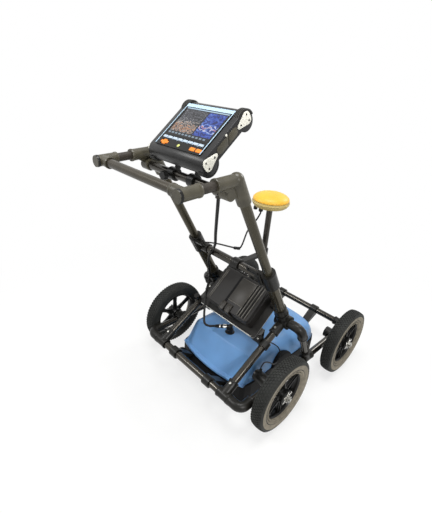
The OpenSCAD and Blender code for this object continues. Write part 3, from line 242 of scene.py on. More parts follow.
def smooth(points, steps=CORD_STEPS):
    """Points on a curve that passes through every point of a route."""
    made = []
    last = len(points) - 1
    for i in range(last):
        a, b, c, d = points[max(i - 1, 0)], points[i], points[i + 1], points[min(i + 2, last)]
        for t in (k / steps for k in range(steps)):
            made.append(b + t / 2 * (c - a) + t * t / 2 * (2 * a - 5 * b + 4 * c - d)
                        + t ** 3 / 2 * (3 * b - a - 3 * c + d))
    return made + [points[last]]


def tube(name, route, width, finish):
    """A round cord on a smooth curve through its route."""
    points = smooth(route)
    curve = bpy.data.curves.new(name, "CURVE")
    curve.dimensions = "3D"
    curve.bevel_depth = width / 2
    curve.bevel_resolution = 4
    curve.use_fill_caps = True
    spline = curve.splines.new("POLY")
    spline.points.add(len(points) - 1)
    for knot, point in zip(spline.points, points):
        knot.co = (*point, 1)
    piece = bpy.data.objects.new(name, curve)
    bpy.context.collection.objects.link(piece)
    alone(piece)
    bpy.ops.object.convert(target="MESH")
    piece = clean(bpy.context.object)
    piece.data.materials.append(finish)
    for face in piece.data.polygons:
        face.use_smooth = True
    return piece


def join(name, pieces):
    """Makes one piece of several."""
    alone(pieces[0])
    for piece in pieces:
        piece.select_set(True)
    bpy.ops.object.join()
    pieces[0].name = name
    pieces[0].data.name = name
    return pieces[0]


def moved(piece, matrix):
    """Moves a piece's mesh, and leaves its object at the origin."""
    piece.data.transform(matrix @ piece.matrix_basis)
    piece.matrix_basis = Matrix.Identity(4)
    return piece


def copied(piece, name):
    """A copy of a piece with a mesh of its own."""
    twin = piece.copy()
    twin.data = piece.data.copy()
    twin.name = name
    twin.data.name = name
    bpy.context.collection.objects.link(twin)
    return twin


def painted(piece, finishes, choose):
    """Gives each face one of several finishes."""
    for finish in finishes:
        piece.data.materials.append(finish)
    for face in piece.data.polygons:
        face.material_index = choose(face)
    return piece


def fitted(piece, place, body, finish=None, replaced=(), angle=35):
    """Puts a piece in place on a body, with its shading, its finish and what it stands for."""
    moved(piece, place)
    alone(piece)
    bpy.ops.object.shade_smooth_by_angle(angle=radians(angle))
    if finish:
        piece.data.materials.clear()
        piece.data.materials.append(finish)
    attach(piece, body)
    if replaced:
        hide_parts(*replaced)
    return piece


def arc(centre, radius, first, last, steps):
    """Points on an arc, with angles in degrees."""
    turns = [radians(first + (last - first) * i / steps) for i in range(steps + 1)]
    return [(centre[0] + radius * cos(t), centre[1] + radius * sin(t)) for t in turns]


def round_rect(low, high, radius, steps=5):
    """A flat rectangle with round corners."""
    (x0, y0), (x1, y1) = low, high
    corners = (((x1 - radius, y0 + radius), -90), ((x1 - radius, y1 - radius), 0),
               ((x0 + radius, y1 - radius), 90), ((x0 + radius, y0 + radius), 180))
    return [p for centre, turn in corners for p in arc(centre, radius, turn, turn + 90, steps)]


def mirrored(half):
    """A section made whole: the points of its upper half, then the same points below."""
    return half + [(r, -z) for r, z in reversed(half)]


def barrel_section(bore, radius, half_length, edge_r, edge_z):
    """Section of a barrel with chamfered rims, whose chamfers have a size across and a size along it."""
    return mirrored([(bore, half_length), (radius - edge_r, half_length), (radius, half_length - edge_z)])


# Finishes

def linear(code):
    """An sRGB hex colour as the linear colour that shaders use."""
    parts = [int(code[i:i + 2], 16) / 255 for i in (1, 3, 5)]
    return tuple(c / 12.92 if c <= 0.04045 else ((c + 0.055) / 1.055) ** 2.4 for c in parts) + (1,)


def add_node(tree, kind, inputs=None, stops=(), **settings):
    """Adds a shader node with its settings and ramp stops, and sets or links its inputs."""
    node = tree.nodes.new(kind)
    for field, value in settings.items():
        setattr(node, field, value)
    for i, (place, colour) in enumerate(stops):
        if i >= len(node.color_ramp.elements):
            node.color_ramp.elements.new(place)
        node.color_ramp.elements[i].position = place
        node.color_ramp.elements[i].color = colour
    for socket, value in (inputs or {}).items():
        if isinstance(value, bpy.types.NodeSocket):
            tree.links.new(value, node.inputs[socket])
        else:
            node.inputs[socket].default_value = value
    return node


def blank(name):
    """A material with only its surface shader, and its tree and shader."""
    material = bpy.data.materials.new(name)
    material.use_nodes = True
    tree = material.node_tree
    return material, tree, tree.nodes["Principled BSDF"]


def per_metre(size_mm):
    """A texture scale that gives features of a size in millimetres."""
    return 1 / (size_mm * MM)


def shaded(colour, share):
    """A colour made lighter or darker by a share."""
    return tuple(min(c * share, 1) for c in colour[:3]) + (1,)


# Most values of a noise texture lie between these two
NOISE_LOW, NOISE_HIGH = 0.3, 0.7
GLOSS_SWING = 0.04


def surface(name, colour, roughness, mottle_mm, grain_mm, contrast=0.25, relief=0.1, stretch=(1, 1, 1),
            shine=0.3, sockets=None):
    """A worked surface: cloudy colour at one size, and fine grain that breaks up the gloss at another.

    The real grain is often finer than this and would not show, so it is drawn at 0.8 to 3 mm.
    """
    material, tree, shader = blank(name)
    place = add_node(tree, "ShaderNodeTexCoord").outputs["Object"]
    laid = add_node(tree, "ShaderNodeMapping", {"Vector": place, "Scale": stretch}).outputs["Vector"]
    cloud = add_node(tree, "ShaderNodeTexNoise",
                     {"Vector": place, "Scale": per_metre(mottle_mm), "Detail": 4.0})
    tone = add_node(tree, "ShaderNodeValToRGB", {"Fac": cloud.outputs["Fac"]},
                    [(NOISE_LOW, shaded(colour, 1 - contrast)), (NOISE_HIGH, shaded(colour, 1 + contrast))])
    grain = add_node(tree, "ShaderNodeTexNoise",
                     {"Vector": laid, "Scale": per_metre(grain_mm), "Detail": 2.0})
    gloss = add_node(tree, "ShaderNodeMapRange",
                     {"Value": grain.outputs["Fac"], "From Min": NOISE_LOW, "From Max": NOISE_HIGH,
                      "To Min": roughness * (1 - GLOSS_SWING), "To Max": roughness * (1 + GLOSS_SWING)})
    bump = add_node(tree, "ShaderNodeBump", {"Height": grain.outputs["Fac"], "Strength": relief,
                                             "Distance": grain_mm * MM / 4})
    tree.links.new(tone.outputs["Color"], shader.inputs["Base Color"])
    tree.links.new(gloss.outputs["Result"], shader.inputs["Roughness"])
    tree.links.new(bump.outputs["Normal"], shader.inputs["Normal"])
    for socket, value in {"Specular IOR Level": shine, **(sockets or {})}.items():
        shader.inputs[socket].default_value = value
    return material


def face_place(tree):
    """Coordinates laid flat on the console's face, in metres."""
    place = add_node(tree, "ShaderNodeTexCoord").outputs["Object"]
    turn = (radians(-CONSOLE_TILT), 0, 0)
    return add_node(tree, "ShaderNodeMapping", {"Vector": place, "Rotation": turn}).outputs["Vector"]


def lit_glass(name, strength):
    """A material for dark glossy glass that is lit from behind, and its tree and shader."""
    material, tree, shader = blank(name)
    shader.inputs["Emission Strength"].default_value = strength
    shader.inputs["Base Color"].default_value = linear("#06070a")
    shader.inputs["Roughness"].default_value = 0.16
    return material, tree, shader


# A wave texture turns by this angle in one unit of its scale
WAVE_RADIANS = 20


def radargram(name, stops, band_mm, noise_mm, strong_y, reach_mm):
    """A lit picture of layered echoes: level bands that waver, strongest at one height of the face."""
    material, tree, shader = lit_glass(name, 0.85)
    place = face_place(tree)
    waves = add_node(tree, "ShaderNodeTexWave",
                     {"Vector": place, "Scale": per_metre(band_mm) / WAVE_RADIANS, "Distortion": 14.0,
                      "Detail": 4.0, "Detail Scale": 2.4},
                     bands_direction="Y")
    drawn = add_node(tree, "ShaderNodeMapping", {"Vector": place, "Scale": (0.4, 1, 1)}).outputs["Vector"]
    flecks = add_node(tree, "ShaderNodeTexNoise",
                      {"Vector": drawn, "Scale": per_metre(noise_mm), "Detail": 5.0})
    echo = add_node(tree, "ShaderNodeMath", {0: waves.outputs["Fac"], 1: flecks.outputs["Fac"]},
                    operation="MULTIPLY")
    strong = (Matrix.Rotation(radians(-CONSOLE_TILT), 4, "X") @ CONSOLE @ Vector((0, strong_y, 0))).y
    height = add_node(tree, "ShaderNodeSeparateXYZ", {"Vector": place}).outputs["Y"]
    off = add_node(tree, "ShaderNodeMath", {0: height, 1: strong}, operation="SUBTRACT").outputs["Value"]
    off = add_node(tree, "ShaderNodeMath", {0: off}, operation="ABSOLUTE").outputs["Value"]
    gain = add_node(tree, "ShaderNodeMapRange",
                    {"Value": off, "From Max": reach_mm * MM, "To Min": 1.5, "To Max": 0.6})
    level = add_node(tree, "ShaderNodeMath", {0: echo.outputs["Value"], 1: gain.outputs["Result"]},
                     operation="MULTIPLY")
    picture = add_node(tree, "ShaderNodeValToRGB", {"Fac": level.outputs["Value"]}, stops)
    tree.links.new(picture.outputs["Color"], shader.inputs["Emission Color"])
    return material


def glow(name, code, strength, grain_mm=1.2, contrast=0.1):
    """A plain lit area of the screen under its gloss, with faint pixel grain."""
    material, tree, shader = lit_glass(name, strength)
    grain = add_node(tree, "ShaderNodeTexNoise",
                     {"Vector": face_place(tree), "Scale": per_metre(grain_mm), "Detail": 1.0})
    colour = linear(code)
    tone = add_node(tree, "ShaderNodeValToRGB", {"Fac": grain.outputs["Fac"]},
                    [(NOISE_LOW, shaded(colour, 1 - contrast)), (NOISE_HIGH, shaded(colour, 1 + contrast))])
    tree.links.new(tone.outputs["Color"], shader.inputs["Emission Color"])
    return material


def make_finishes(looks):
    """Every finish of the cart, by name."""
    made = {}
    # Powder-coated steel tube: black and glossy, so lamps draw long streaks on it, with faint orange peel
    made["tube"] = surface("powder_coated_tube", looks.tube, 0.2, 60, 2.5, relief=0.03, shine=0.7,
                           sockets={"Specular Tint": linear("#ebe4d6")})
    # Worn handlebar: brown-black, with draw lines along it
    made["bar"] = surface("worn_handlebar", linear("#2f2a21"), 0.32, 50, 2.5, relief=0.05,
                          stretch=(0.04, 1, 1), shine=0.5, sockets={"Specular Tint": linear("#ebe4d6")})
    # Anodised aluminium leg: olive-grey, with draw lines along the tube
    made["leg"] = surface("anodised_leg", looks.leg, 0.24, 80, 3, relief=0.02, stretch=(1, 1, 0.06),
                          shine=0.7, sockets={"Metallic": 0.2, "Specular Tint": linear("#ddd4bc")})
    # Glass-filled nylon fittings: black on the frame, dull olive on the handle, cloudy from the mould
    made["fitting"] = surface("black_nylon_fitting", looks.fitting, 0.34, 35, 1.6, relief=0.05, shine=0.25)
    made["elbow"] = surface("olive_nylon_fitting", looks.elbow, 0.36, 35, 1.6, relief=0.05, shine=0.45)
    # Coated arm of the handle: matt brown-black, dusty
    made["grip"] = surface("grip_tube", looks.grip, 0.45, 25, 1.5, relief=0.06)
    # Tyre rubber: matt dark grey with a dusty bloom
    made["tyre"] = surface("tyre_rubber", looks.tyre, 0.7, 30, 2.0, contrast=0.3, relief=0.25)
    # Skinwall tyre side: taupe, scuffed
    made["sidewall"] = surface("tyre_sidewall", looks.sidewall, 0.75, 18, 1.5, contrast=0.2, relief=0.2)
    # Black nylon rim and mouldings: satin, with fine spark-eroded grain
    made["black"] = surface("black_moulding", looks.black, 0.3, 40, 1.2, relief=0.04, shine=0.25)
    # Skid of the sensor and the lid's painted shade lines: scuffed polyethylene, darker than the black
    # mouldings as painted shade, nearly black and dull
    made["skid"] = surface("dull_black_skid", linear("#0b0b0c"), 0.6, 40, 2, contrast=0.3, relief=0.1,
                           shine=0.12)
    # Zinc-plated steel: bright, slightly cloudy
    made["zinc"] = surface("zinc_plate", linear("#a5a49e"), 0.34, 12, 0.8, contrast=0.1, relief=0.05,
                           sockets={"Metallic": 1.0})
    # Nickel-plated connector: brighter than zinc
    made["nickel"] = surface("nickel_plate", linear("#dedcd6"), 0.18, 10, 0.8, contrast=0.06, relief=0.03,
                             sockets={"Metallic": 1.0})
    # Rotomoulded polyethylene: waxy light blue with a soft, slightly rippled surface
    made["sensor"] = surface("rotomoulded_polyethylene", looks.sensor, 0.4, 90, 3.0, contrast=0.06,
                             relief=0.03, sockets={"Subsurface Weight": 0.05})
    # PVC cable jacket: black, satin
    made["cable"] = surface("cable_jacket", looks.cable, 0.5, 15, 1.5, relief=0.1)
    # Moulded radome: warm yellow, satin, a little chalky from the sun
    made["radome"] = surface("yellow_radome", looks.radome, 0.42, 40, 1.8, contrast=0.06, relief=0.02)
    made["radome_base"] = surface("dull_yellow_base", looks.radome_base, 0.5, 30, 1.8, contrast=0.08,
                                  relief=0.02)
    # Sheet aluminium shelf: pale grey at its bare edge, brushed across; its top is near-black, painted
    # shade under the case
    made["shelf"] = surface("brushed_shelf", linear("#a9a9a4"), 0.4, 50, 2, stretch=(0.05, 1, 1),
                            sockets={"Metallic": 0.5})
    made["mat"] = surface("rubber_mat", linear("#1f1e1c"), 0.7, 30, 1.5, contrast=0.2, relief=0.3)
    # Pebbled ABS case: brown-black, with a coarse moulded texture
    made["case"] = surface("pebbled_case", looks.case, 0.5, 45, 1.4, contrast=0.2, relief=0.15)
    # Worn panel of the case: browner and paler than its sides
    made["panel"] = surface("worn_case_panel", looks.panel, 0.42, 60, 1.6, contrast=0.18, relief=0.12)
    # Painted highlights on the lid: pale olive strips along its ribs, its thin lines and the panel's edges
    made["crest"] = surface("rubbed_rib_crest", linear("#64615a"), 0.36, 30, 1.6, contrast=0.3, relief=0.06)
    # Console housing: charcoal, satin
    made["housing"] = surface("charcoal_housing", linear("#232323"), 0.36, 40, 1.2, relief=0.04, shine=0.3)
    # Ribbed rubber bumper: dull black in its grooves, paler on its ribs
    made["bumper"] = surface("bumper_rubber", linear("#191918"), 0.6, 20, 1.2, relief=0.2)
    made["bumper_rib"] = surface("rubbed_bumper_rib", linear("#3f3e39"), 0.5, 20, 1.2, relief=0.15)
    # Off-white painted end plate: clean and satin
    made["plate"] = surface("white_end_plate", looks.plate, 0.4, 20, 1.5, contrast=0.04, relief=0.05)
    # Silicone keys: matt and even, with pale prints on the face
    made["orange"] = surface("orange_silicone", looks.orange, 0.5, 8, 0.8, contrast=0.08, relief=0.08)
    made["lime"] = surface("lime_silicone", linear("#c9cf7a"), 0.5, 8, 0.8, contrast=0.06, relief=0.08)
    made["pale_key"] = surface("pale_key_print", linear("#b3c2d0"), 0.45, 8, 0.8, contrast=0.05,
                               relief=0.05)
    made["border"] = surface("pale_blue_print", linear("#b4cfe2"), 0.4, 10, 0.8, contrast=0.03, relief=0.03)
    # Green circuit board and grey battery, inside
    made["board"] = surface("circuit_board", linear("#2b5a35"), 0.4, 10, 1.0, contrast=0.3)
    made["battery"] = surface("battery_case", linear("#5a5a58"), 0.5, 30, 1.2)
    # Lit screen under glass: dark where it is empty, with two layered pictures
    made["screen_black"] = glow("screen_dark", "#0c0d12", 0.6)
    made["screen_title"] = glow("screen_title_bar", "#bcd8ee", 0.9)
    made["mark"] = glow("screen_status_mark", "#9fb6c8", 0.7)
    grey = [(0.05, "#101114"), (0.2, "#34363d"), (0.36, "#85868e"), (0.5, "#d2c8bc"), (0.66, "#d0843f")]
    blue = [(0.03, "#101c64"), (0.14, "#2c5bcc"), (0.24, "#2b3fa8"), (0.4, "#6a97e6"), (0.56, "#eceaf4"),
            (0.7, "#c23a3a")]
    made["grey_picture"] = radargram("grey_radargram", [(p, linear(c)) for p, c in grey],
                                     band_mm=1.1, noise_mm=5, strong_y=72, reach_mm=40)
    made["blue_picture"] = radargram("blue_radargram", [(p, linear(c)) for p, c in blue],
                                     band_mm=2.6, noise_mm=8, strong_y=88, reach_mm=18)
    return made


FINISHES = {}


# Sizes and colours that a user would change

def colour_property(name, description, code):
    """A colour setting, written as it looks on screen."""
    return FloatVectorProperty(name=name, description=description, subtype="COLOR", size=4, min=0, max=1,
                               default=linear(code))


def length_property(name, description, size_mm):
    """A length setting, given here in millimetres."""
    return FloatProperty(name=name, description=description, default=size_mm * MM, min=0, unit="LENGTH")


class CartColours(bpy.types.PropertyGroup):
    """Colours of the cart's finishes."""
    tube: colour_property("Tube", "Powder coat of the frame tubes", "#171513")
    leg: colour_property("Leg", "Anodised upper legs and sleeves", "#312e25")
    fitting: colour_property("Fitting", "Moulded frame fittings", "#191815")
    elbow: colour_property("Elbow", "Moulded elbows and tees of the handle", "#423e31")
    grip: colour_property("Grip", "Arms of the handle", "#302b25")
    tyre: colour_property("Tyre", "Tread and shoulders of the tyres", "#242523")
    sidewall: colour_property("Sidewall", "Outer side of the tyres", "#7f786a")
    black: colour_property("Moulding", "Black mouldings", "#141413")
    sensor: colour_property("Sensor", "Upper shell of the sensor", "#6b98ca")
    cable: colour_property("Cable", "Cable jackets", "#121211")
    radome: colour_property("Radome", "Top of the positioning antenna", "#e8b23e")
    radome_base: colour_property("Radome base", "Underside of the positioning antenna", "#b3a067")
    case: colour_property("Case", "Battery case", "#191715")
    panel: colour_property("Case panel", "Raised panel and ribs of the case's lid", "#2f2c27")
    plate: colour_property("Plate", "End plates of the console", "#f4f2e6")
    orange: colour_property("Orange key", "Arrow pad and function keys", "#e8862a")


class CartSizes(bpy.types.PropertyGroup):
    """Sizes of the details."""
    tread_depth: length_property("Tread depth", "Height of the tread blocks", 3.5)
    tread_steps: IntProperty(name="Tread steps", description="Steps round the tyre", default=150, min=60,
                             max=240)
    case_edge: length_property("Case edge", "Rounding of the case's edges", 4)
    bumper_rib: length_property("Bumper rib", "Height of the bumper ribs", 2)
    collar: length_property("Collar", "Height of the lips on the tube fittings", 1.3)


# Operators: one for each piece or group of like pieces

class CART_OT_finishes(bpy.types.Operator):
    """Makes every finish, and puts one on each node of the frame"""
    bl_idname = "cart.finishes"
    bl_label = "Finishes"

    def execute(self, context):
        FINISHES.update(make_finishes(context.scene.cart_colours))
        by_slot = {"frame_tube": "tube", "fitting": "fitting", "grip": "grip", "tyre": "tyre",
                   "rim": "black", "steel": "zinc", "chrome": "nickel", "sensor_blue": "sensor",
                   "black_plastic": "black", "board": "board", "cable": "cable", "radome": "radome",
                   "antenna_rim": "radome_base",
                   "shelf": "shelf", "case": "case", "battery": "battery", "bumper": "bumper",
                   "end_plate": "plate", "glass": "screen_black", "key_orange": "orange",
                   "key_pale": "pale_key", "key_lime": "lime"}
        by_node = {"leg_tubes": "leg", "leg_sleeves": "leg", "handle_elbows": "elbow",
                   "handle_tees": "elbow", "handlebar": "bar", "sensor_base": "skid"}
        for part in frame["record"]["subparts"]:
            node = frame["nodes"][part["node"]]
            finish = FINISHES[by_node.get(part["node"], by_slot[part["material_slot"]])]
            node.data.materials.clear()
            node.data.materials.append(finish)
        return {"FINISHED"}


class CART_OT_cables(bpy.types.Operator):
    """Main cable, antenna lead and odometer lead along their routes, with ties, coupler and plug"""
    bl_idname = "cart.cables"
    bl_label = "Cables"

    # Routes from the rear axle, and the leads' thickness, in millimetres
    main = [(150, -233.5, 922.1), (150, -233.5, 901.1), (128, -212, 852), (80, -164, 772), (30, -112, 706),
            (-24, -62, 654), (-66, -24, 618), (-90, -4, 596), (-106, -6, 560), (-122, 12, 512),
            (-138, 34, 462), (-146, 42, 410), (-141, 26, 366), (-116, -2, 326), (-96, -22, 288),
            (-78, -34, 258), (-63, -22, 245), (-45, -2, 245)]
    antenna = [(3, 151, 763.5), (3, 151, 748.5), (10, 120, 728), (18, 85, 718), (26, 58, 706),
               (32, 40, 688), (36, 26, 668), (34, 17, 652), (22, 12, 646), (-20, 9, 638), (-68, 8, 629),
               (-112, 4, 619), (-139, -2, 612), (-150, -2, 612)]
    odometer = [(221.85, 0, 196), (221.85, 0, 208), (221, 20, 218), (220, 55, 196), (217, 95, 160),
                (214, 122, 150), (211, 142, 160), (206, 150, 182), (192, 146, 206), (172, 136, 217),
                (160, 132, 217), (149, 132, 217)]
    main_w, antenna_w, odometer_w = 10, 6, 5
    # Points of the main route where its bend with the handle starts and ends, and those with a tie
    bend_from, bend_to = 1, 6
    tied = (7, 9, 11)
    # Point of the antenna's route that carries the coupler
    coupled = 8
    # Where the plug's two arms meet, from the rear axle
    plug_knee = (0, 48, 245)

    def execute(self, context):
        route = from_rear_axle(self.main)
        lead = moved(tube("main_lead", route, self.main_w, FINISHES["cable"]), CART)
        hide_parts("main_cable")
        high, low = route[self.bend_from] * MM, route[self.bend_to] * MM
        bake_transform(lead)
        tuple(high)
        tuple(low)
        self.declare(lead, route, self.main_w)
        on_frame = (("antenna_lead", self.antenna, self.antenna_w, "gps_cable"),
                    ("odometer_lead", self.odometer, self.odometer_w, "odometer_cable"))
        for name, points, width, node in on_frame:
            route = from_rear_axle(points)
            piece = tube(name, route, width, FINISHES["cable"])
            fitted(piece, CART, "cart_frame", None, [node])
            self.declare(piece, route, width)
        self.ties()
        self.plug()
        return {"FINISHED"}

    def declare(self, piece, route, width):
        """Works out a lead's path and length along its route, and keeps nothing."""
        path = [CART @ point for point in smooth(route)]
        length = sum((b - a).length for a, b in zip(path, path[1:]))
        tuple(path[0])

    def ties(self):
        """Cable ties on the main cable, and the coupler in the antenna lead."""
        ring = barrel_section(5.1, 6.6, 2, 0.3, 0.4)
        for i in self.tied:
            way = Vector(self.main[i + 1]) - Vector(self.main[i - 1])
            parts = [lathe("ring", ring, 24), block("head", (5.5, -3, -2.6), (10, 3, 2.6), 0.6)]
            tie = join("cable_tie_%d" % i, parts)
            fitted(tie, lying(self.main[i], way), "cart_frame", FINISHES["black"])
        half = [(3.2, 13), (5, 13), (5.8, 11.5), (5.8, 2.4), (4.8, 1.6)]
        coupler = lathe("lead_coupler", mirrored(half), 24)
        way = Vector(self.antenna[self.coupled + 1]) - Vector(self.antenna[self.coupled - 1])
        fitted(coupler, lying(self.antenna[self.coupled], way), "cart_frame", FINISHES["black"])

    def plug(self):
        """Right-angle plug: a black body with two plated rings on the cable's side."""
        knee, end = Vector(self.plug_knee), Vector(self.main[-1])
        reach = (end - knee).length
        tip = reach - 0.2
        stem = lathe("stem", [(0, -10.8), (11, -10.8), (11, 3), (10, 7), (7, 10), (0, 11)], 32)
        moved(stem, lying(knee, (0, 0, 1)))
        barrel = lathe("barrel", [(0, 0), (9, 0), (9, 24), (8, 25), (8, reach - 14), (7, reach - 4),
                                  (6, tip), (0, tip)], 32)
        along = lying(knee, end - knee)
        body = join("plug_body", [stem, moved(barrel, along)])
        fitted(body, IN_PLACE, "cart_frame", FINISHES["black"], ["cable_plug"])
        rings = []
        for first, width, radius in ((18, 15, 10), (reach - 24, 6, 9.2)):
            ring = lathe("ring", barrel_section(7, radius, width / 2, 0.6, 0.8), 32)
            rings.append(moved(ring, along @ Matrix.Translation((0, 0, first + width / 2))))
        fitted(join("plug_rings", rings), IN_PLACE, "cart_frame", FINISHES["nickel"])


class CART_OT_fittings(bpy.types.Operator):
    """Collars at the mouths of the tube fittings, screws in them, a clamp's boss, and the handle's caps"""
    bl_idname = "cart.fittings"
    bl_label = "Fitting collars"

    # Centre lines of the tubes, in millimetres from the rear axle
    rear_bar_y, front_bar_y, frame_z = -172, 583, 155
    rail_x, leg_x = 277, 192
    rail_tee_y, apex_y, apex_z = 248, 152, 346
    bend_y, bend_z = -213.5, 979.06
    axles_y = (0, 470)
    # Slope of the arms, down to the rear
    arm_drop = radians(3)
    arm = Vector((0, -cos(arm_drop), -sin(arm_drop)))
    # From the middle of each fitting to its mouths
    corner_reach, tee_reach, axle_reach = 56, 28, 29
    foot_reach, brace_reach, apex_reach, leg_reach = 62, 48, 72, 60
    # Along the arm from its bend: the elbow's mouth, then the tee's mouth, middle and end
    elbow_mouth, tee_mouth, tee_middle, tee_end = 80, 128, 174, 197.8
    bar_reach = 46
    # Along the strut: screws of the tee at its foot and of the apex fitting, from their middles
    foot_screw, apex_screw = 45, 52
    # Radii of the mouths
    frame_r, leg_r, elbow_r, tee_r, bar_r = 20, 27, 18, 17, 16
    # The clamp's boss, from the rear axle
    boss_place = (172, 20, 308)

    def execute(self, context):
        rise = context.scene.cart_sizes.collar / MM
        mouths, grips, screws, ends = [], [], [], []
        for side in SIDES:
            bend = Vector((side * self.leg_x, self.bend_y, self.bend_z))
            more_mouths, more_screws = self.frame_places(side, bend)
            mouths += more_mouths
            screws += more_screws
            inward = Vector((-side, 0, 0))
            grips += [(bend + self.elbow_mouth * self.arm, self.arm, self.elbow_r),
                      (bend + self.tee_mouth * self.arm, -self.arm, self.tee_r),
                      (bend + self.tee_middle * self.arm + self.bar_reach * inward, inward, self.bar_r)]
            ends.append(bend + self.tee_end * self.arm)
        for name, body, finish, places in (("frame_collars", "cart_frame", "fitting", mouths),
                                           ("handle_collars", "handle", "elbow", grips)):
            rings = [moved(self.collar(r, rise), lying(p, way)) for p, way, r in places]
            fitted(join(name, rings), IN_PLACE, body, FINISHES[finish])
        head = [(0, -1), (5, -1), (5, 1), (4.2, 2.6), (2.2, 3), (2.2, 1.4), (0, 1.4)]
        heads = [moved(lathe("screw", head, 20), lying(p, way)) for p, way in screws]
        fitted(join("fitting_screws", heads), IN_PLACE, "cart_frame", FINISHES["zinc"])
        cap = [(0, -9), (17.8, -9), (17.8, -3), (17, -1.2), (14.5, -0.2), (0, 0)]
        caps = [moved(lathe("cap", cap, 40), lying(end, self.arm)) for end in ends]
        fitted(join("tee_caps", caps), IN_PLACE, "handle", FINISHES["black"])
        self.boss()
        return {"FINISHED"}

    def frame_places(self, side, bend):
        """Mouths of the frame's fittings on one side, each with its way out and radius, and its screws."""
        across, ahead = Vector((1, 0, 0)), Vector((0, 1, 0))
        foot = Vector((side * self.leg_x, self.rear_bar_y, self.frame_z))
        tee = Vector((side * self.rail_x, self.rail_tee_y, self.frame_z))
        apex = Vector((side * self.leg_x, self.apex_y, self.apex_z))
        elbow = Vector((side * self.rail_x, self.apex_y, self.apex_z))
        strut, brace, lean = ((b - a).normalized() for a, b in ((foot, apex), (tee, elbow), (apex, bend)))
        mouths = [(foot + self.foot_reach * strut, strut), (apex - self.apex_reach * strut, -strut),
                  (tee + self.brace_reach * brace, brace), (elbow - self.corner_reach * brace, -brace)]
        for y, way in ((self.rear_bar_y, ahead), (self.front_bar_y, -ahead)):
            corner = Vector((side * self.rail_x, y, self.frame_z))
            mouths += [(corner - side * self.corner_reach * across, -side * across),
                       (corner + self.corner_reach * way, way)]
        for s in SIDES:
            mouths += [(foot + s * self.tee_reach * across, s * across),
                       (tee + s * self.tee_reach * ahead, s * ahead)]
            for y in self.axles_y:
                axle = Vector((side * self.rail_x, y, self.frame_z))
                mouths.append((axle + s * self.axle_reach * ahead, s * ahead))
        above = Vector((0, -strut.z, strut.y))
        screws = [(foot + self.foot_screw * strut + self.frame_r * above, above),
                  (apex - self.apex_screw * strut + self.frame_r * above, above)]
        leg_mouth = (apex + self.leg_reach * lean, lean, self.leg_r)
        return [(p, way, self.frame_r) for p, way in mouths] + [leg_mouth], screws

    def collar(self, radius, rise):
        """A low rounded lip round the mouth of a fitting."""
        inner, outer = radius - 4, radius + rise
        return lathe("collar", [(inner, -8), (radius, -8), (outer, -6.5), (outer, -1.2),
                                (radius + rise / 2, 0), (inner, 0)], 32)

    def boss(self):
        """A round boss on the rear face of the right lower shelf clamp, with a bright screw in it."""
        place = lying(self.boss_place, (0, -1, 0))
        boss = lathe("clamp_boss", [(0, -14), (11, -14), (11, -1.5), (9.5, 0), (0, 0)], 32)
        fitted(boss, place, "cart_frame", FINISHES["fitting"])
        screw = lathe("boss_screw", [(0, -1), (4.5, -1), (4.5, 1.5), (3.4, 3), (0, 3.4)], 24)
        fitted(screw, place, "cart_frame", FINISHES["zinc"])


class CART_OT_tyres(bpy.types.Operator):
    """Four tyres with a block tread and a taupe outer side"""
    bl_idname = "cart.tyres"
    bl_label = "Tyres"

    # Edges of the tread's rows across half the tyre, from the shoulder to the middle groove
    rows = (21, 13.5, 12, 4.6, 3.2)
    crown_drop = 3.2
    tread_band = 4
    # Radii between which the outer side is taupe, within and outside a thin dark groove
    pale_bands = ((0, 116.2), (119.2, 138.2))

    def execute(self, context):
        low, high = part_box("rear_right_tyre")
        radius, half_w = (high.z - low.z) / 2 / MM, (high.x - low.x) / 2 / MM
        sizes = context.scene.cart_sizes
        model = self.model(radius, half_w, sizes.tread_depth / MM, sizes.tread_steps)
        for name in WHEELS:
            piece = copied(model, name + "_tread")
            fitted(piece, wheel_frame(name), name + "_wheel", None, [name + "_tyre"])
        bpy.data.objects.remove(model)
        return {"FINISHED"}

    def model(self, radius, half_w, depth, steps):
        """One tyre round Z: a spun section whose tread blocks are pushed out."""
        ground, rows = radius - depth, self.rows
        crown = [(ground - self.crown_drop * (z / rows[0]) ** 2, z) for z in rows]
        side = [(106.3, 18), (108.5, 21.5), (110.5, 23.6), (116, 24.8), (117, 23.6), (119, 23.8),
                (120, 25.2), (128, half_w - 0.4), (134, half_w), (138, half_w - 0.6), (139, half_w - 1.8),
                (140.5, half_w - 1.8), (141.5, half_w - 1.2), (146, 24), (148.5, 22.4)]
        piece = lathe("tyre_model", mirrored(side + crown), steps)
        step = 2 * pi / steps

        def in_block(face):
            z = abs(face.center.z)
            in_groove = rows[2] < z < rows[1] or rows[4] < z < rows[3]
            if face.center.xy.length < ground - self.tread_band or z > rows[0] or in_groove:
                return False
            turn = round(face.center.xy.angle_signed(Vector((1, 0))) / step - 0.5)
            row = sum(z > edge for edge in (rows[3], rows[1]))
            return (turn + row) % 2 == 0

        with editing(piece, "FACE", in_block):
            bpy.ops.mesh.extrude_region()
            bpy.ops.transform.shrink_fatten(value=depth)
        spare = radius / max(v.co.xy.length for v in piece.data.vertices)
        for v in piece.data.vertices:
            if v.co.xy.length > ground:
                v.co.xy *= spare
        return painted(piece, [FINISHES["tyre"], FINISHES["sidewall"]],
                       lambda face: int(face.center.z > 0 and self.pale(face.center.xy.length)))

    def pale(self, radius):
        """Whether the outer side is taupe at a radius."""
        return any(low < radius < high for low, high in self.pale_bands)


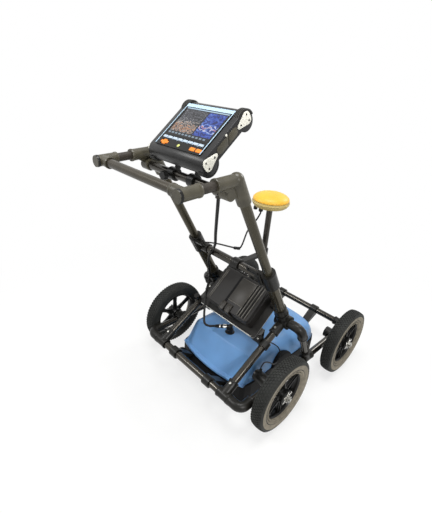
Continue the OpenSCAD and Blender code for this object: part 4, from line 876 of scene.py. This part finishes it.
class CART_OT_rims(bpy.types.Operator):
    """Four six-spoked rims with ribbed spokes, and a bright star on each hub"""
    bl_idname = "cart.rims"
    bl_label = "Rims"

    spokes = 6
    # Half of the rim's section and of the outlines of a spoke and its rib, and the hub's whole section
    rim = [(106, 22), (103.5, 23.5), (101, 22), (99, 15), (95, 11), (94, 8)]
    spoke = [(98, 11), (60, 8.5), (26, 13)]
    rib = [(98, 11), (60, 9.5), (26, 11.5)]
    hub = [(9.5, -15), (16.2, -15), (16.2, -24), (25, -24), (28, -21), (28, -8), (33, -6), (33, 6), (28, 9),
           (28, 23), (24, 27), (16.2, 27), (16.2, 18), (9.5, 18)]
    # The rim's outer edge is taupe outside this radius and past this height
    edge_r, edge_z = 97, 15
    # Tips and hollows of the star, and its two faces
    star_radii = (31, 15)
    star_z = (27.1, 29.1)

    def execute(self, context):
        parts = [lathe("rim_model", mirrored(self.rim), 96), lathe("hub", self.hub, 48)]
        for i in range(self.spokes):
            turn = Matrix.Rotation(2 * pi * i / self.spokes, 4, "Z")
            parts += [moved(prism("spoke", mirrored(self.spoke), -5, 5, "Z", 2), turn),
                      moved(prism("rib", mirrored(self.rib), -2.5, 2.5, "Y", 1), turn)]
        model = painted(join("rim_model", parts), [FINISHES["black"], FINISHES["sidewall"]], self.on_edge)
        star = self.star()
        for name in WHEELS:
            place, body = wheel_frame(name), name + "_wheel"
            fitted(copied(model, name + "_spokes"), place, body, None, [name + "_rim"])
            fitted(copied(star, name + "_star"), place, body, FINISHES["nickel"])
        bpy.data.objects.remove(model)
        bpy.data.objects.remove(star)
        return {"FINISHED"}

    def on_edge(self, face):
        """1 for faces of the rim's outer edge, and 0 for the rest."""
        return int(face.center.z > self.edge_z and face.center.xy.length > self.edge_r)

    def star(self):
        """A pressed star washer under the axle nut, with an arm over each spoke."""
        points = []
        for i in range(2 * self.spokes):
            radius, turn = self.star_radii[i % 2], pi * i / self.spokes
            points.append((radius * cos(turn), radius * sin(turn)))
        plate = prism("star", points, *self.star_z, "Z", 0.6)
        with editing(plate, "FACE", lambda face: face.normal.z > 0.9):
            bpy.ops.mesh.inset(thickness=2.2, depth=-0.6)
        return plate


class CART_OT_sensor(bpy.types.Operator):
    """Smooth upper shell of the sensor with its ridge and waist, its sockets, side guards and rear lip"""
    bl_idname = "cart.sensor"
    bl_label = "Sensor shell"

    # Along the shell: share of its length, of its height and of its half width
    stations = [(0, 0, 0.93), (0, 0.05, 0.93), (0.002, 0.075, 0.93), (0.006, 0.085, 0.93),
                (0.024, 0.1, 0.925), (0.028, 0.11, 0.92), (0.034, 0.16, 0.918), (0.06, 0.36, 0.925),
                (0.105, 0.72, 0.945), (0.125, 0.87, 0.95), (0.136, 0.94, 0.955), (0.142, 0.958, 0.957),
                (0.15, 0.955, 0.957), (0.19, 0.945, 0.96), (0.29, 0.96, 0.96), (0.37, 0.935, 0.955),
                (0.43, 0.834, 0.92), (0.475, 0.787, 0.9), (0.52, 0.834, 0.92), (0.575, 0.947, 0.98),
                (0.65, 1, 1), (0.76, 0.99, 1), (0.85, 0.92, 0.985), (0.92, 0.76, 0.965), (0.96, 0.52, 0.94),
                (0.985, 0.18, 0.91), (0.993, 0.06, 0.9), (1, 0.03, 0.895), (1, 0, 0.895)]
    # Across half the shell, from its lip to its middle: share of the width and of the height
    section = [(1, 0), (1, 0.05), (0.985, 0.08), (0.985, 0.35), (0.965, 0.62), (0.9, 0.84), (0.78, 0.955),
               (0.55, 1), (0.25, 1), (0, 1)]
    # How far the ends fall back at their sides, and the power by which they do
    bow_rear, bow_front = 30, 24
    turn_rear, turn_front = 2.4, 3
    # The solid's sockets stand this far above its shell
    socket_h = 12
    # Feet of the sockets, from the rear axle
    plug_seat, lead_seat = (0, 48, 215.7), (139.85, 132, 215.7)
    # Rear lip from the rear axle, and side guards from the rear axle and the shell's seam
    lip_low, lip_high, lip_z = (-168, -134), (168, -78), (84, 91)
    guard_centre, guard_r, guard_x = (192, -34), 78, (176, 201)

    def execute(self, context):
        low, high = (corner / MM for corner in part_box("sensor_shell"))
        half_w = (high.x - low.x) / 2
        top = high.z - self.socket_h - low.z
        across = self.section + [(-x, z) for x, z in reversed(self.section[:-1])]

        def place(column, row):
            along, height, width = self.stations[column]
            x, z = across[row]
            rear = low.y + self.bow_rear * abs(x) ** self.turn_rear
            front = high.y - self.bow_front * abs(x) ** self.turn_front
            return Vector((half_w * width * x, rear + (front - rear) * along, low.z + top * height * z))

        piece = skin("sensor_cover", len(self.stations), len(across), place)
        with editing(piece, "EDGE"):
            bpy.ops.mesh.select_all(action="DESELECT")
            bpy.ops.mesh.select_non_manifold()
            bpy.ops.transform.edge_crease(value=1)
            bpy.ops.mesh.edge_face_add()
        clean(piece)
        modify(piece, "SUBSURF", levels=2, render_levels=2)
        fitted(piece, CART, "cart_frame", FINISHES["sensor"], ["sensor_shell"], 40)
        self.sockets()
        self.guards(low.z)
        self.apron()
        return {"FINISHED"}

    def sockets(self):
        """The dark receptacle that the plug screws on, and the boss of the odometer's lead."""
        receptacle = [(0, -16), (21, -16), (21, 1.5), (19.5, 3), (15, 3.4), (15, 17.5), (14, 18.4),
                      (0, 18.4)]
        boss = [(0, -16), (9, -16), (9, 5.5), (7.5, 7), (0, 7)]
        parts = []
        for name, section, seat, steps in (("receptacle", receptacle, self.plug_seat, 48),
                                           ("boss", boss, self.lead_seat, 32)):
            place = CART @ Matrix.Translation(from_rear_axle([seat])[0])
            parts.append(moved(lathe(name, section, steps), place))
        fitted(join("sensor_sockets", parts), IN_PLACE, "cart_frame", FINISHES["black"])

    def apron(self):
        """The skid's thin rear lip, which reaches back towards the rear bar."""
        outline = [(x, y + REAR_AXLE_Y) for x, y in round_rect(self.lip_low, self.lip_high, 16)]
        lip = prism("skid_apron", outline, *self.lip_z, "Z", 2)
        fitted(lip, CART, "cart_frame", FINISHES["skid"])

    def guards(self, seam):
        """Dark humps of the skid that rise over the shell's waist on both sides."""
        hump = arc(self.guard_centre, self.guard_r, 155, 25, 16)
        outline = [(y + REAR_AXLE_Y, seam + z) for y, z in hump]
        parts = []
        for side in SIDES:
            x0, x1 = sorted(side * x for x in self.guard_x)
            parts.append(prism("guard", outline, x0, x1, "X", 4, 3))
        fitted(join("side_guards", parts), CART, "cart_frame", FINISHES["skid"])


class CART_OT_console(bpy.types.Operator):
    """Console housing, bumpers, end plates with screws, port doors and the border of the face"""
    bl_idname = "cart.console"
    bl_label = "Console housing"

    # Two rolls joined by a flat face and a flat back, which starts at an angle below a roll's middle
    half_w, roll, tuck = 122, 28, 25.4
    roll_places = ((0, 1), (163, -1))
    # The two port doors on each side, met at a slanting gap
    doors = [[(38, -12), (46, -8), (92, -8), (78, -32), (48, -32), (38, -26)],
             [(95, -8), (118, -8), (126, -12), (126, -26), (116, -32), (81, -32)]]
    door_h = 1.4
    cap_place = (122.4, 86, -4)
    # Strips of the border, by two corners, and their two faces
    strips = [((-99, 2), (-96.2, 165)), ((96.2, 2), (99, 165)), ((-96.2, 152), (96.2, 164.5))]
    strip_z = (3.1, 3.5)
    # Bumpers: where they start across, their width, wall, and the spacing of their ribs
    bumper_x, bumper_w, wall, rib_pitch = 100.2, 21.7, 4, 5.2
    ribs = 4
    # End plates: their two faces across, how far down the roll they sit, and their screws
    plate_x, plate_z = (122.1, 125), -20
    plate_screws = ((-9, 10), (-9, -10), (22, 0))

    def execute(self, context):
        (rear, _), (front, _) = self.roll_places
        outline = (arc((rear, -self.roll), self.roll, 360 - self.tuck, 90, 22)
                   + arc((front, -self.roll), self.roll, 90, self.tuck - 180, 22))
        shell = prism("console_housing", outline, -self.half_w, self.half_w, "X", 1.5)
        fitted(shell, CONSOLE, "console", FINISHES["housing"], ["console_shell"])
        self.bumpers(context.scene.cart_sizes.bumper_rib / MM)
        self.plates()
        doors = []
        for side in SIDES:
            x0, x1 = sorted((side * self.half_w, side * (self.half_w + self.door_h)))
            doors += [prism("door", door, x0, x1, "X", 0.5) for door in self.doors]
        fitted(join("port_doors", doors), CONSOLE, "console", FINISHES["elbow"])
        cap = lathe("port_cap", [(0, 0), (3.4, 0), (3.4, 1.6), (2.6, 2.4), (0, 2.4)], 24)
        place = CONSOLE @ Matrix.Translation(self.cap_place) @ facing(1)
        fitted(cap, place, "console", FINISHES["plate"])
        low, high = self.strip_z
        border = [block("strip", (*a, low), (*b, high), 0.15, 1) for a, b in self.strips]
        fitted(join("face_border", border), CONSOLE, "console", FINISHES["border"])
        return {"FINISHED"}

    def bumpers(self, rib):
        """Ribbed rubber sleeves round the four corners."""
        inner, outer = self.roll + 0.2, self.roll + self.wall
        section = [(inner, 0), (outer - 1, 0)]
        for i in range(self.ribs):
            z = 2 + self.rib_pitch * i
            section += [(outer, z), (outer + rib, z + 0.8), (outer + rib, z + 2.6), (outer, z + 3.4)]
        section += [(outer - 1, self.bumper_w), (inner, self.bumper_w)]
        finishes = [FINISHES["bumper"], FINISHES["bumper_rib"]]

        def on_rib(face):
            return int(face.center.xy.length > outer + rib * 0.8)

        parts = []
        for side in SIDES:
            for y, way in self.roll_places:
                bumper = painted(lathe("bumper", section, 24, pi), finishes, on_rib)
                turn = facing(side) @ Matrix.Rotation(pi / 2 * way * side, 4, "Z")
                place = Matrix.Translation((self.bumper_x * side, y, -self.roll))
                parts.append(moved(bumper, place @ turn))
        fitted(join("ribbed_bumpers", parts), CONSOLE, "console", None, ["corner_bumpers"])

    def plates(self):
        """White end plates, each held by three dark screws."""
        plates, screws = [], []
        head = [(0, 0), (2.8, 0), (2.8, 0.5), (2.2, 1.1), (0.9, 1.1), (0.9, 0.5), (0, 0.5)]
        drop = (arc((-7, 5.5), 13, 72, 180, 8) + arc((-7, -5.5), 13, 180, 288, 8)
                + arc((29, 0), 6, -70, 70, 6))
        for side in SIDES:
            x0, x1 = sorted(side * x for x in self.plate_x)
            for y, way in self.roll_places:
                outline = [(y + way * a, b + self.plate_z) for a, b in drop]
                plates.append(prism("plate", outline, x0, x1, "X", 0.8))
                for a, b in self.plate_screws:
                    place = Matrix.Translation((side * self.plate_x[1], y + way * a, b + self.plate_z))
                    screws.append(moved(lathe("screw", head, 16), place @ facing(side)))
        plates = join("white_end_plates", plates)
        fitted(plates, CONSOLE, "console", FINISHES["plate"], ["end_plates"])
        fitted(join("end_plate_screws", screws), CONSOLE, "console", FINISHES["black"])


class CART_OT_screen(bpy.types.Operator):
    """Lit screen with a layered picture on the left, a blue one on the right and a row of status marks"""
    bl_idname = "cart.screen"
    bl_label = "Screen"

    glass_low, glass_high = (-89, 44, 0.15), (89, 150, 2.35)
    # Edges of the two pictures across, and of the marks, pictures and title up the face
    cuts_x = (-86, 10, 15, 86)
    cuts_y = (57, 143, 146)
    marks_x = range(-84, 80, 15)
    mark_size, mark_y, mark_z = (9, 5), 48, (2.3, 2.5)

    def execute(self, context):
        piece = block("lit_screen", self.glass_low, self.glass_high)
        cuts = [((x, 0, 0), (1, 0, 0)) for x in self.cuts_x] + [((0, y, 0), (0, 1, 0)) for y in self.cuts_y]
        with editing(piece):
            for place, way in cuts:
                bpy.ops.mesh.select_all(action="SELECT")
                bpy.ops.mesh.bisect(plane_co=place, plane_no=way)
        finishes = [FINISHES[k] for k in ("screen_black", "screen_title", "grey_picture", "blue_picture")]
        fitted(painted(piece, finishes, self.picture), CONSOLE, "console", None, ["screen_glass"])
        (width, height), (low, high), y = self.mark_size, self.mark_z, self.mark_y
        marks = [block("mark", (x, y, low), (x + width, y + height, high)) for x in self.marks_x]
        fitted(join("status_marks", marks), CONSOLE, "console", FINISHES["mark"])
        return {"FINISHED"}

    def picture(self, face):
        """Which picture a face of the screen shows."""
        x, y = face.center.x, face.center.y
        if face.normal.z < 0.9 or y < self.cuts_y[0]:
            return 0
        if y > self.cuts_y[2]:
            return 1
        if y < self.cuts_y[1] and self.cuts_x[0] < x < self.cuts_x[1]:
            return 2
        return 3 if y < self.cuts_y[1] and self.cuts_x[2] < x < self.cuts_x[3] else 0


class CART_OT_keys(bpy.types.Operator):
    """Arrow pad, function keys, power key and the strip of soft keys"""
    bl_idname = "cart.keys"
    bl_label = "Keys"

    # Keys with travel start under the face, and all keys stand out to the same height
    low, top = -2.2, 4.35
    pad_x, pad_y = -65, 12
    function_keys = (("left_function_key", 59), ("right_function_key", 84.5))
    key_half_w, key_y = 10.5, (6, 18)
    power_place = (0, 11, 0)
    # The strip of soft keys: its left end, the spacing and width of its keys, and its underside
    strip_x, soft_pitch, soft_w, strip_z = -89, 22.25, 18.2, 0.15
    strip_y, soft_y, web_top = (26, 36), (27, 35), 1.3
    soft_keys = 8

    def execute(self, context):
        low, top, x, y = self.low, self.top, self.pad_x, self.pad_y
        hub = lathe("hub", [(0, 0), (4.5, 0), (4.5, 0.6), (0, 1)], 24)
        parts = [block("wide", (x - 16.5, y - 4.5, low), (x + 16.5, y + 4.5, top), 2, 3),
                 block("tall", (x - 7, y - 8.8, low), (x + 7, y + 8.8, top), 2, 3),
                 moved(hub, Matrix.Translation((x, y, top - 0.2)))]
        pad = join("arrow_cross", parts)
        fitted(pad, CONSOLE, "arrow_pad_body", FINISHES["orange"], ["arrow_pad"])
        for name, x in self.function_keys:
            near, far = (x - self.key_half_w, self.key_y[0], low), (x + self.key_half_w, self.key_y[1], top)
            key = block(name + "_cap", near, far, 1.6, 3)
            fitted(key, CONSOLE, name + "_body", FINISHES["orange"], [name])
        power = lathe("power_cap", [(0, low), (5, low), (5, top - 1), (4.2, top - 0.2), (0, top)], 32)
        place = CONSOLE @ Matrix.Translation(self.power_place)
        fitted(power, place, "power_key_body", FINISHES["lime"], ["power_key"])
        end, under = self.strip_x, self.strip_z
        keys = [block("web", (end, self.strip_y[0], under), (-end, self.strip_y[1], self.web_top))]
        first_y, last_y = self.soft_y
        for i in range(self.soft_keys):
            x = end + self.soft_pitch * i + 2
            keys.append(block("key", (x, first_y, under), (x + self.soft_w, last_y, top), 0.8))
        strip = join("soft_key_strip", keys)
        fitted(strip, CONSOLE, "console", FINISHES["pale_key"], ["soft_keys"])
        return {"FINISHED"}


class CART_OT_case(bpy.types.Operator):
    """Battery case: lid with a raised panel and ribs, latch with two pads, carrying handle, and shelf"""
    bl_idname = "cart.case"
    bl_label = "Battery case"

    # The lid in the case's own millimetres: x across, y up the slope, z out from the shelf
    lid_low, lid_high, corner_r, band_out = (-116, 0), (116, 165), 14, 3
    seam, band_top, lid_top = 42.4, 50.4, 70
    hinges_x, hinge_y, hinge_z = (-88.5, -35.5, 35.5, 88.5), 174, 42
    panel_x, panel_y = (-12, 64), (44, 151)
    ribs_x, lines_x = (75, 89, 103), (-104, -97)
    # Painted highlight strips on the panel's edge and the ribs, on the thin lines, and across the panel's
    # ends
    rib_crests_x, line_crests_x, end_crests_y = (62, 73, 87, 101), (-102, -95), ((42.4, 44.6), (150, 152))
    # Left edge and width of each painted shade line: a dark strip beside the panel and between the ribs
    grooves = ((-24, 12), (66, 5), (80, 5), (94, 5))
    # The latch: its axis, the middles of its two hooks and pads, and the ridges on the hooks
    latch_y, latch_z = -5.1, 22
    hooks_x, pads_x = (-16, 16), (-15, 15)
    ridges_x = (-25, -19, -13, -7, 7, 13, 19, 25)
    # The carrying handle: its eyes, and how far its grip stands out from them
    eye_x, eye_y, eye_z, grip_out = 65.1, 172, 20, 36
    # Where the case's corner lies on the shelf
    on_shelf = (12, 28, 4.15)

    def execute(self, context):
        self.lid(context.scene.cart_sizes.case_edge / MM)
        self.lid_details()
        self.latch()
        self.handle()
        self.shelf()
        return {"FINISHED"}

    def lid(self, edge):
        """The lid with its thicker band at the seam and its hinge barrels."""
        outline = round_rect(self.lid_low, self.lid_high, self.corner_r)
        out = self.band_out
        (x0, y0), (x1, y1) = self.lid_low, self.lid_high
        band = round_rect((x0 - out, y0 - out), (x1 + out, y1 + out), self.corner_r + out)
        lid = [prism("lid", outline, self.seam, self.lid_top, "Z", edge, 3),
               prism("band", band, self.seam, self.band_top, "Z", 1.2)]
        for x in self.hinges_x:
            barrel = lathe("barrel", barrel_section(2.6, 5.5, 13, 0.5, 0.6), 24)
            lid.append(moved(barrel, Matrix.Translation((x, self.hinge_y, self.hinge_z)) @ facing(1)))
        fitted(join("case_cover", lid), CASE, "case_lid_body", FINISHES["case"], ["case_lid"])

    def lid_details(self):
        """The lid's raised panel and ribs, painted highlight strips on them, and dark painted shade lines
        between them.
        """
        x0, x1 = self.panel_x
        raised = [self.strip("panel", self.panel_x, self.panel_y, (-4, 4), 1.5)]
        raised += [self.strip("rib", (x - 3.5, x + 3.5), (7, 158), (-6, 3), 1.6) for x in self.ribs_x]
        raised += [self.strip("line", (x - 1.2, x + 1.2), (10, 155), (-2, 1), 0.5) for x in self.lines_x]
        fitted(join("lid_panel", raised), CASE, "case_lid_body", FINISHES["panel"])
        # Pale strips along the ribs, the thin lines and the panel's ends are painted highlights.
        crests = [self.strip("crest", (x, x + 2.4), (9, 156), (1, 3.4), 0.6) for x in self.rib_crests_x]
        crests += [self.strip("crest", (x - 1, x + 1), (12, 153), (-1, 1.4), 0.5)
                   for x in self.line_crests_x]
        crests += [self.strip("crest", (x0 + 2, x1 - 2), y, (0, 3.6), 0.6) for y in self.end_crests_y]
        fitted(join("lid_crests", crests), CASE, "case_lid_body", FINISHES["crest"])
        # Dark strips beside the panel and between the ribs are painted shade.
        dark = [self.strip("groove", (x, x + w), (9, 156), (-0.6, 0.6), 0.2) for x, w in self.grooves]
        fitted(join("lid_grooves", dark), CASE, "case_lid_body", FINISHES["skid"])

    def strip(self, name, across, along, out, edge):
        """A strip on the lid, between two places across it, along it and out from its top."""
        low, high = zip(across, along, (self.lid_top + out[0], self.lid_top + out[1]))
        return block(name, low, high, edge)

    def latch(self):
        """A wide latch: its barrel, its plate, two finger pads and two ridged hooks over the lid."""
        barrel = lathe("barrel", barrel_section(2.1, 4.5, 29, 0.4, 0.6), 24)
        moved(barrel, Matrix.Translation((0, self.latch_y, self.latch_z)) @ facing(1))
        parts = [barrel, block("plate", (-29, -9.4, self.latch_z), (29, -4.2, 60), 1.2)]
        parts += [block("pad", (x - 11, -10.6, 34), (x + 11, -7, 57), 1.4) for x in self.pads_x]
        parts += [block("riser", (x - 12, -9.4, 58), (x + 12, -4.2, 75), 1.2) for x in self.hooks_x]
        parts += [block("hook", (x - 12, -9.4, 71), (x + 12, 30, 75), 1.2) for x in self.hooks_x]
        parts += [block("ridge", (x - 1, 2, 74), (x + 1, 29, 76.2), 0.6) for x in self.ridges_x]
        latch = join("case_latch_plate", parts)
        fitted(latch, CASE, "case_latch_body", FINISHES["panel"], ["case_latch"])

    def handle(self):
        """A carrying handle: a bent rod between its two eyes, with a thicker grip."""
        x, y, z, out = self.eye_x, self.eye_y, self.eye_z, self.grip_out
        left = [(-x, y), (-x, y + 12), (-x, y + 24), (6 - x, y + 33), (16 - x, y + out)]
        path = left + [(0, y + out)] + [(-a, b) for a, b in reversed(left)]
        rod = tube("rod", [Vector((a, b, z)) for a, b in path], 8, FINISHES["black"])
        grip = lathe("grip", barrel_section(3, 6.5, 42, 1.1, 3), 28)
        moved(grip, Matrix.Translation((0, y + out, z)) @ facing(1))
        parts = [rod, grip]
        for side in SIDES:
            eye = lathe("eye", barrel_section(3.1, 7, 4.5, 0.6, 0.6), 28)
            parts.append(moved(eye, Matrix.Translation((side * x, y, z)) @ facing(1)))
        carry = join("case_carry_handle", parts)
        fitted(carry, CASE, "case_handle_body", FINISHES["black"], ["case_handle"])

    def shelf(self):
        """The shelf: bare metal edges and lip, with its top painted near-black as painted shade."""
        thick = 4
        plate = prism("plate", round_rect((-160, 0), (160, 200), 14), 0, thick, "Z", 0.8)
        lip = block("lip", (-146, 0, 0), (146, thick, 12), 1)
        piece = painted(join("shelf_tray", [plate, lip]), [FINISHES["shelf"], FINISHES["mat"]],
                        lambda face: int(abs(face.normal.z) > 0.9 and face.center.y > thick))
        place = CASE @ Matrix.Translation(-Vector(self.on_shelf))
        fitted(piece, place, "cart_frame", None, ["shelf_plate"])


class CART_OT_antenna(bpy.types.Operator):
    """Positioning antenna: domed yellow cover, tapered base, dark seam, knob and connector"""
    bl_idname = "cart.antenna"
    bl_label = "Antenna"

    # Heights of the seam above the dome's lowest edge, and of the lip above the seam
    seam, lip = 9, 2
    # Where the knob and the plug hang, from the dome's middle
    knob_place, plug_place = (-40, -38, 0), (-24, -24, 0)
    dome_steps = 16

    def execute(self, context):
        low, high = (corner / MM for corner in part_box("antenna_dome"))
        centre = (low + high) / 2
        radius, rise = (high.x - low.x) / 2, high.z - low.z
        seam, shoulder = self.seam, self.seam + self.lip
        dome = [(0, seam), (radius - 2, seam), (radius - 0.6, seam + 0.6), (radius, shoulder)]
        for i in range(1, self.dome_steps):
            t = pi / 2 * i / self.dome_steps
            dome.append((radius * cos(t), shoulder + (rise - shoulder) * sin(t)))
        dome.append((0, rise))
        seat = CART @ Matrix.Translation((centre.x, centre.y, low.z))
        cover = lathe("radome", dome, 64)
        fitted(cover, seat, "cart_frame", FINISHES["radome"], ["antenna_dome"], 45)
        base = [(0, -28), (21, -28), (21, -18), (52, -18), (60, -16), (66, -11), (70.5, -4), (72.5, 2),
                (radius, 6), (radius, seam - 1), (radius - 1, seam - 0.4), (0, seam - 0.4)]
        foot = lathe("radome_foot", base, 64)
        fitted(foot, seat, "cart_frame", FINISHES["radome_base"], ["antenna_base"])
        knob = [(0, -34), (6, -34), (8, -32), (8, -24), (6.5, -22), (6.5, -13), (0, -13)]
        plug = [(0, -42), (6, -42), (8.5, -39), (8.5, -28), (7, -25), (7, -17), (0, -17)]
        for name, section, hung in (("rim_knob", knob, self.knob_place),
                                    ("antenna_plug", plug, self.plug_place)):
            place = seat @ Matrix.Translation(hung)
            fitted(lathe(name, section, 24), place, "cart_frame", FINISHES["black"])
        return {"FINISHED"}


class CART_OT_stage(bpy.types.Operator):
    """Pale floor, soft lamps, white surroundings and the camera at the photo's angle"""
    bl_idname = "cart.stage"
    bl_label = "Stage"

    # Lamps: name, place and size in metres, and power in watts; all point at one place on the cart
    lamps = (("top_light", (0.2, -0.4, 3.4), 1.2, 62), ("key_light", (-1.6, -2.2, 2.8), 0.8, 44),
             ("fill_light", (2.6, -1.2, 2.0), 0.8, 42), ("back_light", (0.4, 2.6, 2.4), 0.8, 30))
    aim = Vector((0, 0, 0.45))

    def execute(self, context):
        self.floor()
        self.world()
        for lamp in self.lamps:
            self.lamp(*lamp)
        self.camera()
        context.scene.view_settings.view_transform = "Standard"
        return {"FINISHED"}

    def seen(self, tree):
        """1 for rays that should see plain white: from the camera, a mirror or glass."""
        path = add_node(tree, "ShaderNodeLightPath").outputs
        glossy = add_node(tree, "ShaderNodeMath", {0: path["Is Camera Ray"], 1: path["Is Glossy Ray"]},
                          operation="MAXIMUM").outputs["Value"]
        return add_node(tree, "ShaderNodeMath", {0: glossy, 1: path["Is Transmission Ray"]},
                        operation="MAXIMUM").outputs["Value"]

    def floor(self):
        """A pale floor that takes a soft shadow near the cart and fades to plain white further off."""
        floor = start(bpy.ops.mesh.primitive_plane_add, "floor", size=60)
        material = bpy.data.materials.new("pale_floor")
        material.use_nodes = True
        tree = material.node_tree
        tree.nodes.clear()
        place = add_node(tree, "ShaderNodeTexCoord").outputs["Object"]
        away = add_node(tree, "ShaderNodeVectorMath", {0: place}, operation="LENGTH").outputs["Value"]
        fade = add_node(tree, "ShaderNodeMapRange",
                        {"Value": away, "From Min": 0.5, "From Max": 1.6, "To Min": 0.7,
                         "To Max": 1.0}).outputs["Result"]
        lit = add_node(tree, "ShaderNodeBsdfDiffuse", {"Color": linear("#f4f4f2")})
        white = add_node(tree, "ShaderNodeEmission", {"Color": linear("#ffffff"), "Strength": 1.0})
        share = add_node(tree, "ShaderNodeMath", {0: self.seen(tree), 1: fade}, operation="MULTIPLY")
        mixed = add_node(tree, "ShaderNodeMixShader", {0: share.outputs["Value"], 1: lit.outputs["BSDF"],
                                                       2: white.outputs["Emission"]})
        add_node(tree, "ShaderNodeOutputMaterial", {"Surface": mixed.outputs["Shader"]})
        floor.data.materials.append(material)

    def world(self):
        """White surroundings to look at, and a gentler white to light the cart."""
        world = bpy.data.worlds.new("studio")
        world.use_nodes = True
        tree = world.node_tree
        background = tree.nodes["Background"]
        background.inputs["Color"].default_value = linear("#ffffff")
        level = add_node(tree, "ShaderNodeMapRange",
                         {"Value": self.seen(tree), "To Min": 0.25, "To Max": 1.0})
        tree.links.new(level.outputs["Result"], background.inputs["Strength"])
        bpy.context.scene.world = world

    def lamp(self, name, place, size, power):
        """A soft square lamp that points at the cart."""
        start(bpy.ops.object.light_add, name, type="AREA", location=place)
        lamp = bpy.context.object
        lamp.data.size = size
        lamp.data.energy = power
        lamp.rotation_euler = (self.aim - Vector(place)).to_track_quat("-Z", "Y").to_euler()

    def camera(self):
        """The photo's view: behind the cart, to its right, from above."""
        place = Vector((0.8053, -0.99944, 1.2282))
        yaw, pitch, roll = radians(44.49), radians(27.57), radians(4.22)
        focal_px, long_side_px = 355.8, 513
        forward = Vector((-sin(yaw) * cos(pitch), cos(yaw) * cos(pitch), -sin(pitch)))
        level = Vector((cos(yaw), sin(yaw), 0))
        upright = level.cross(forward)
        right = cos(roll) * level + sin(roll) * upright
        up = -sin(roll) * level + cos(roll) * upright
        start(bpy.ops.object.camera_add, "camera")
        camera = bpy.context.object
        turn = Matrix((right, up, -forward)).transposed().to_4x4()
        camera.matrix_world = Matrix.Translation(place) @ turn
        camera.data.sensor_width = 36
        camera.data.lens = camera.data.sensor_width * focal_px / long_side_px
        camera.data.clip_end = 200
        bpy.context.scene.camera = camera


OPERATORS = (CART_OT_finishes, CART_OT_stage, CART_OT_cables, CART_OT_fittings, CART_OT_tyres, CART_OT_rims,
             CART_OT_sensor, CART_OT_console, CART_OT_screen, CART_OT_keys, CART_OT_case, CART_OT_antenna)


class CART_PT_pieces(bpy.types.Panel):
    """Lists the cart's settings and pieces."""
    bl_idname = "CART_PT_pieces"
    bl_label = "Radar cart"
    bl_space_type = "VIEW_3D"
    bl_region_type = "UI"
    bl_category = "Cart"

    def draw(self, context):
        for group in (context.scene.cart_colours, context.scene.cart_sizes):
            for field in group.__annotations__:
                self.layout.prop(group, field)
        for operator in OPERATORS:
            self.layout.operator(operator.bl_idname)


CLASSES = (CartColours, CartSizes, *OPERATORS, CART_PT_pieces)


def register():
    """Registers the classes and the scene's settings."""
    for cls in CLASSES:
        bpy.utils.register_class(cls)
    bpy.types.Scene.cart_colours = PointerProperty(type=CartColours)
    bpy.types.Scene.cart_sizes = PointerProperty(type=CartSizes)


def unregister():
    """Takes the settings and classes out again."""
    del bpy.types.Scene.cart_sizes
    del bpy.types.Scene.cart_colours
    for cls in reversed(CLASSES):
        bpy.utils.unregister_class(cls)


def main():
    """Builds every piece in order."""
    register()
    for operator in OPERATORS:
        group, name = operator.bl_idname.split(".")
        getattr(getattr(bpy.ops, group), name)()
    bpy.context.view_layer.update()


if __name__ == "__main__":
    main()
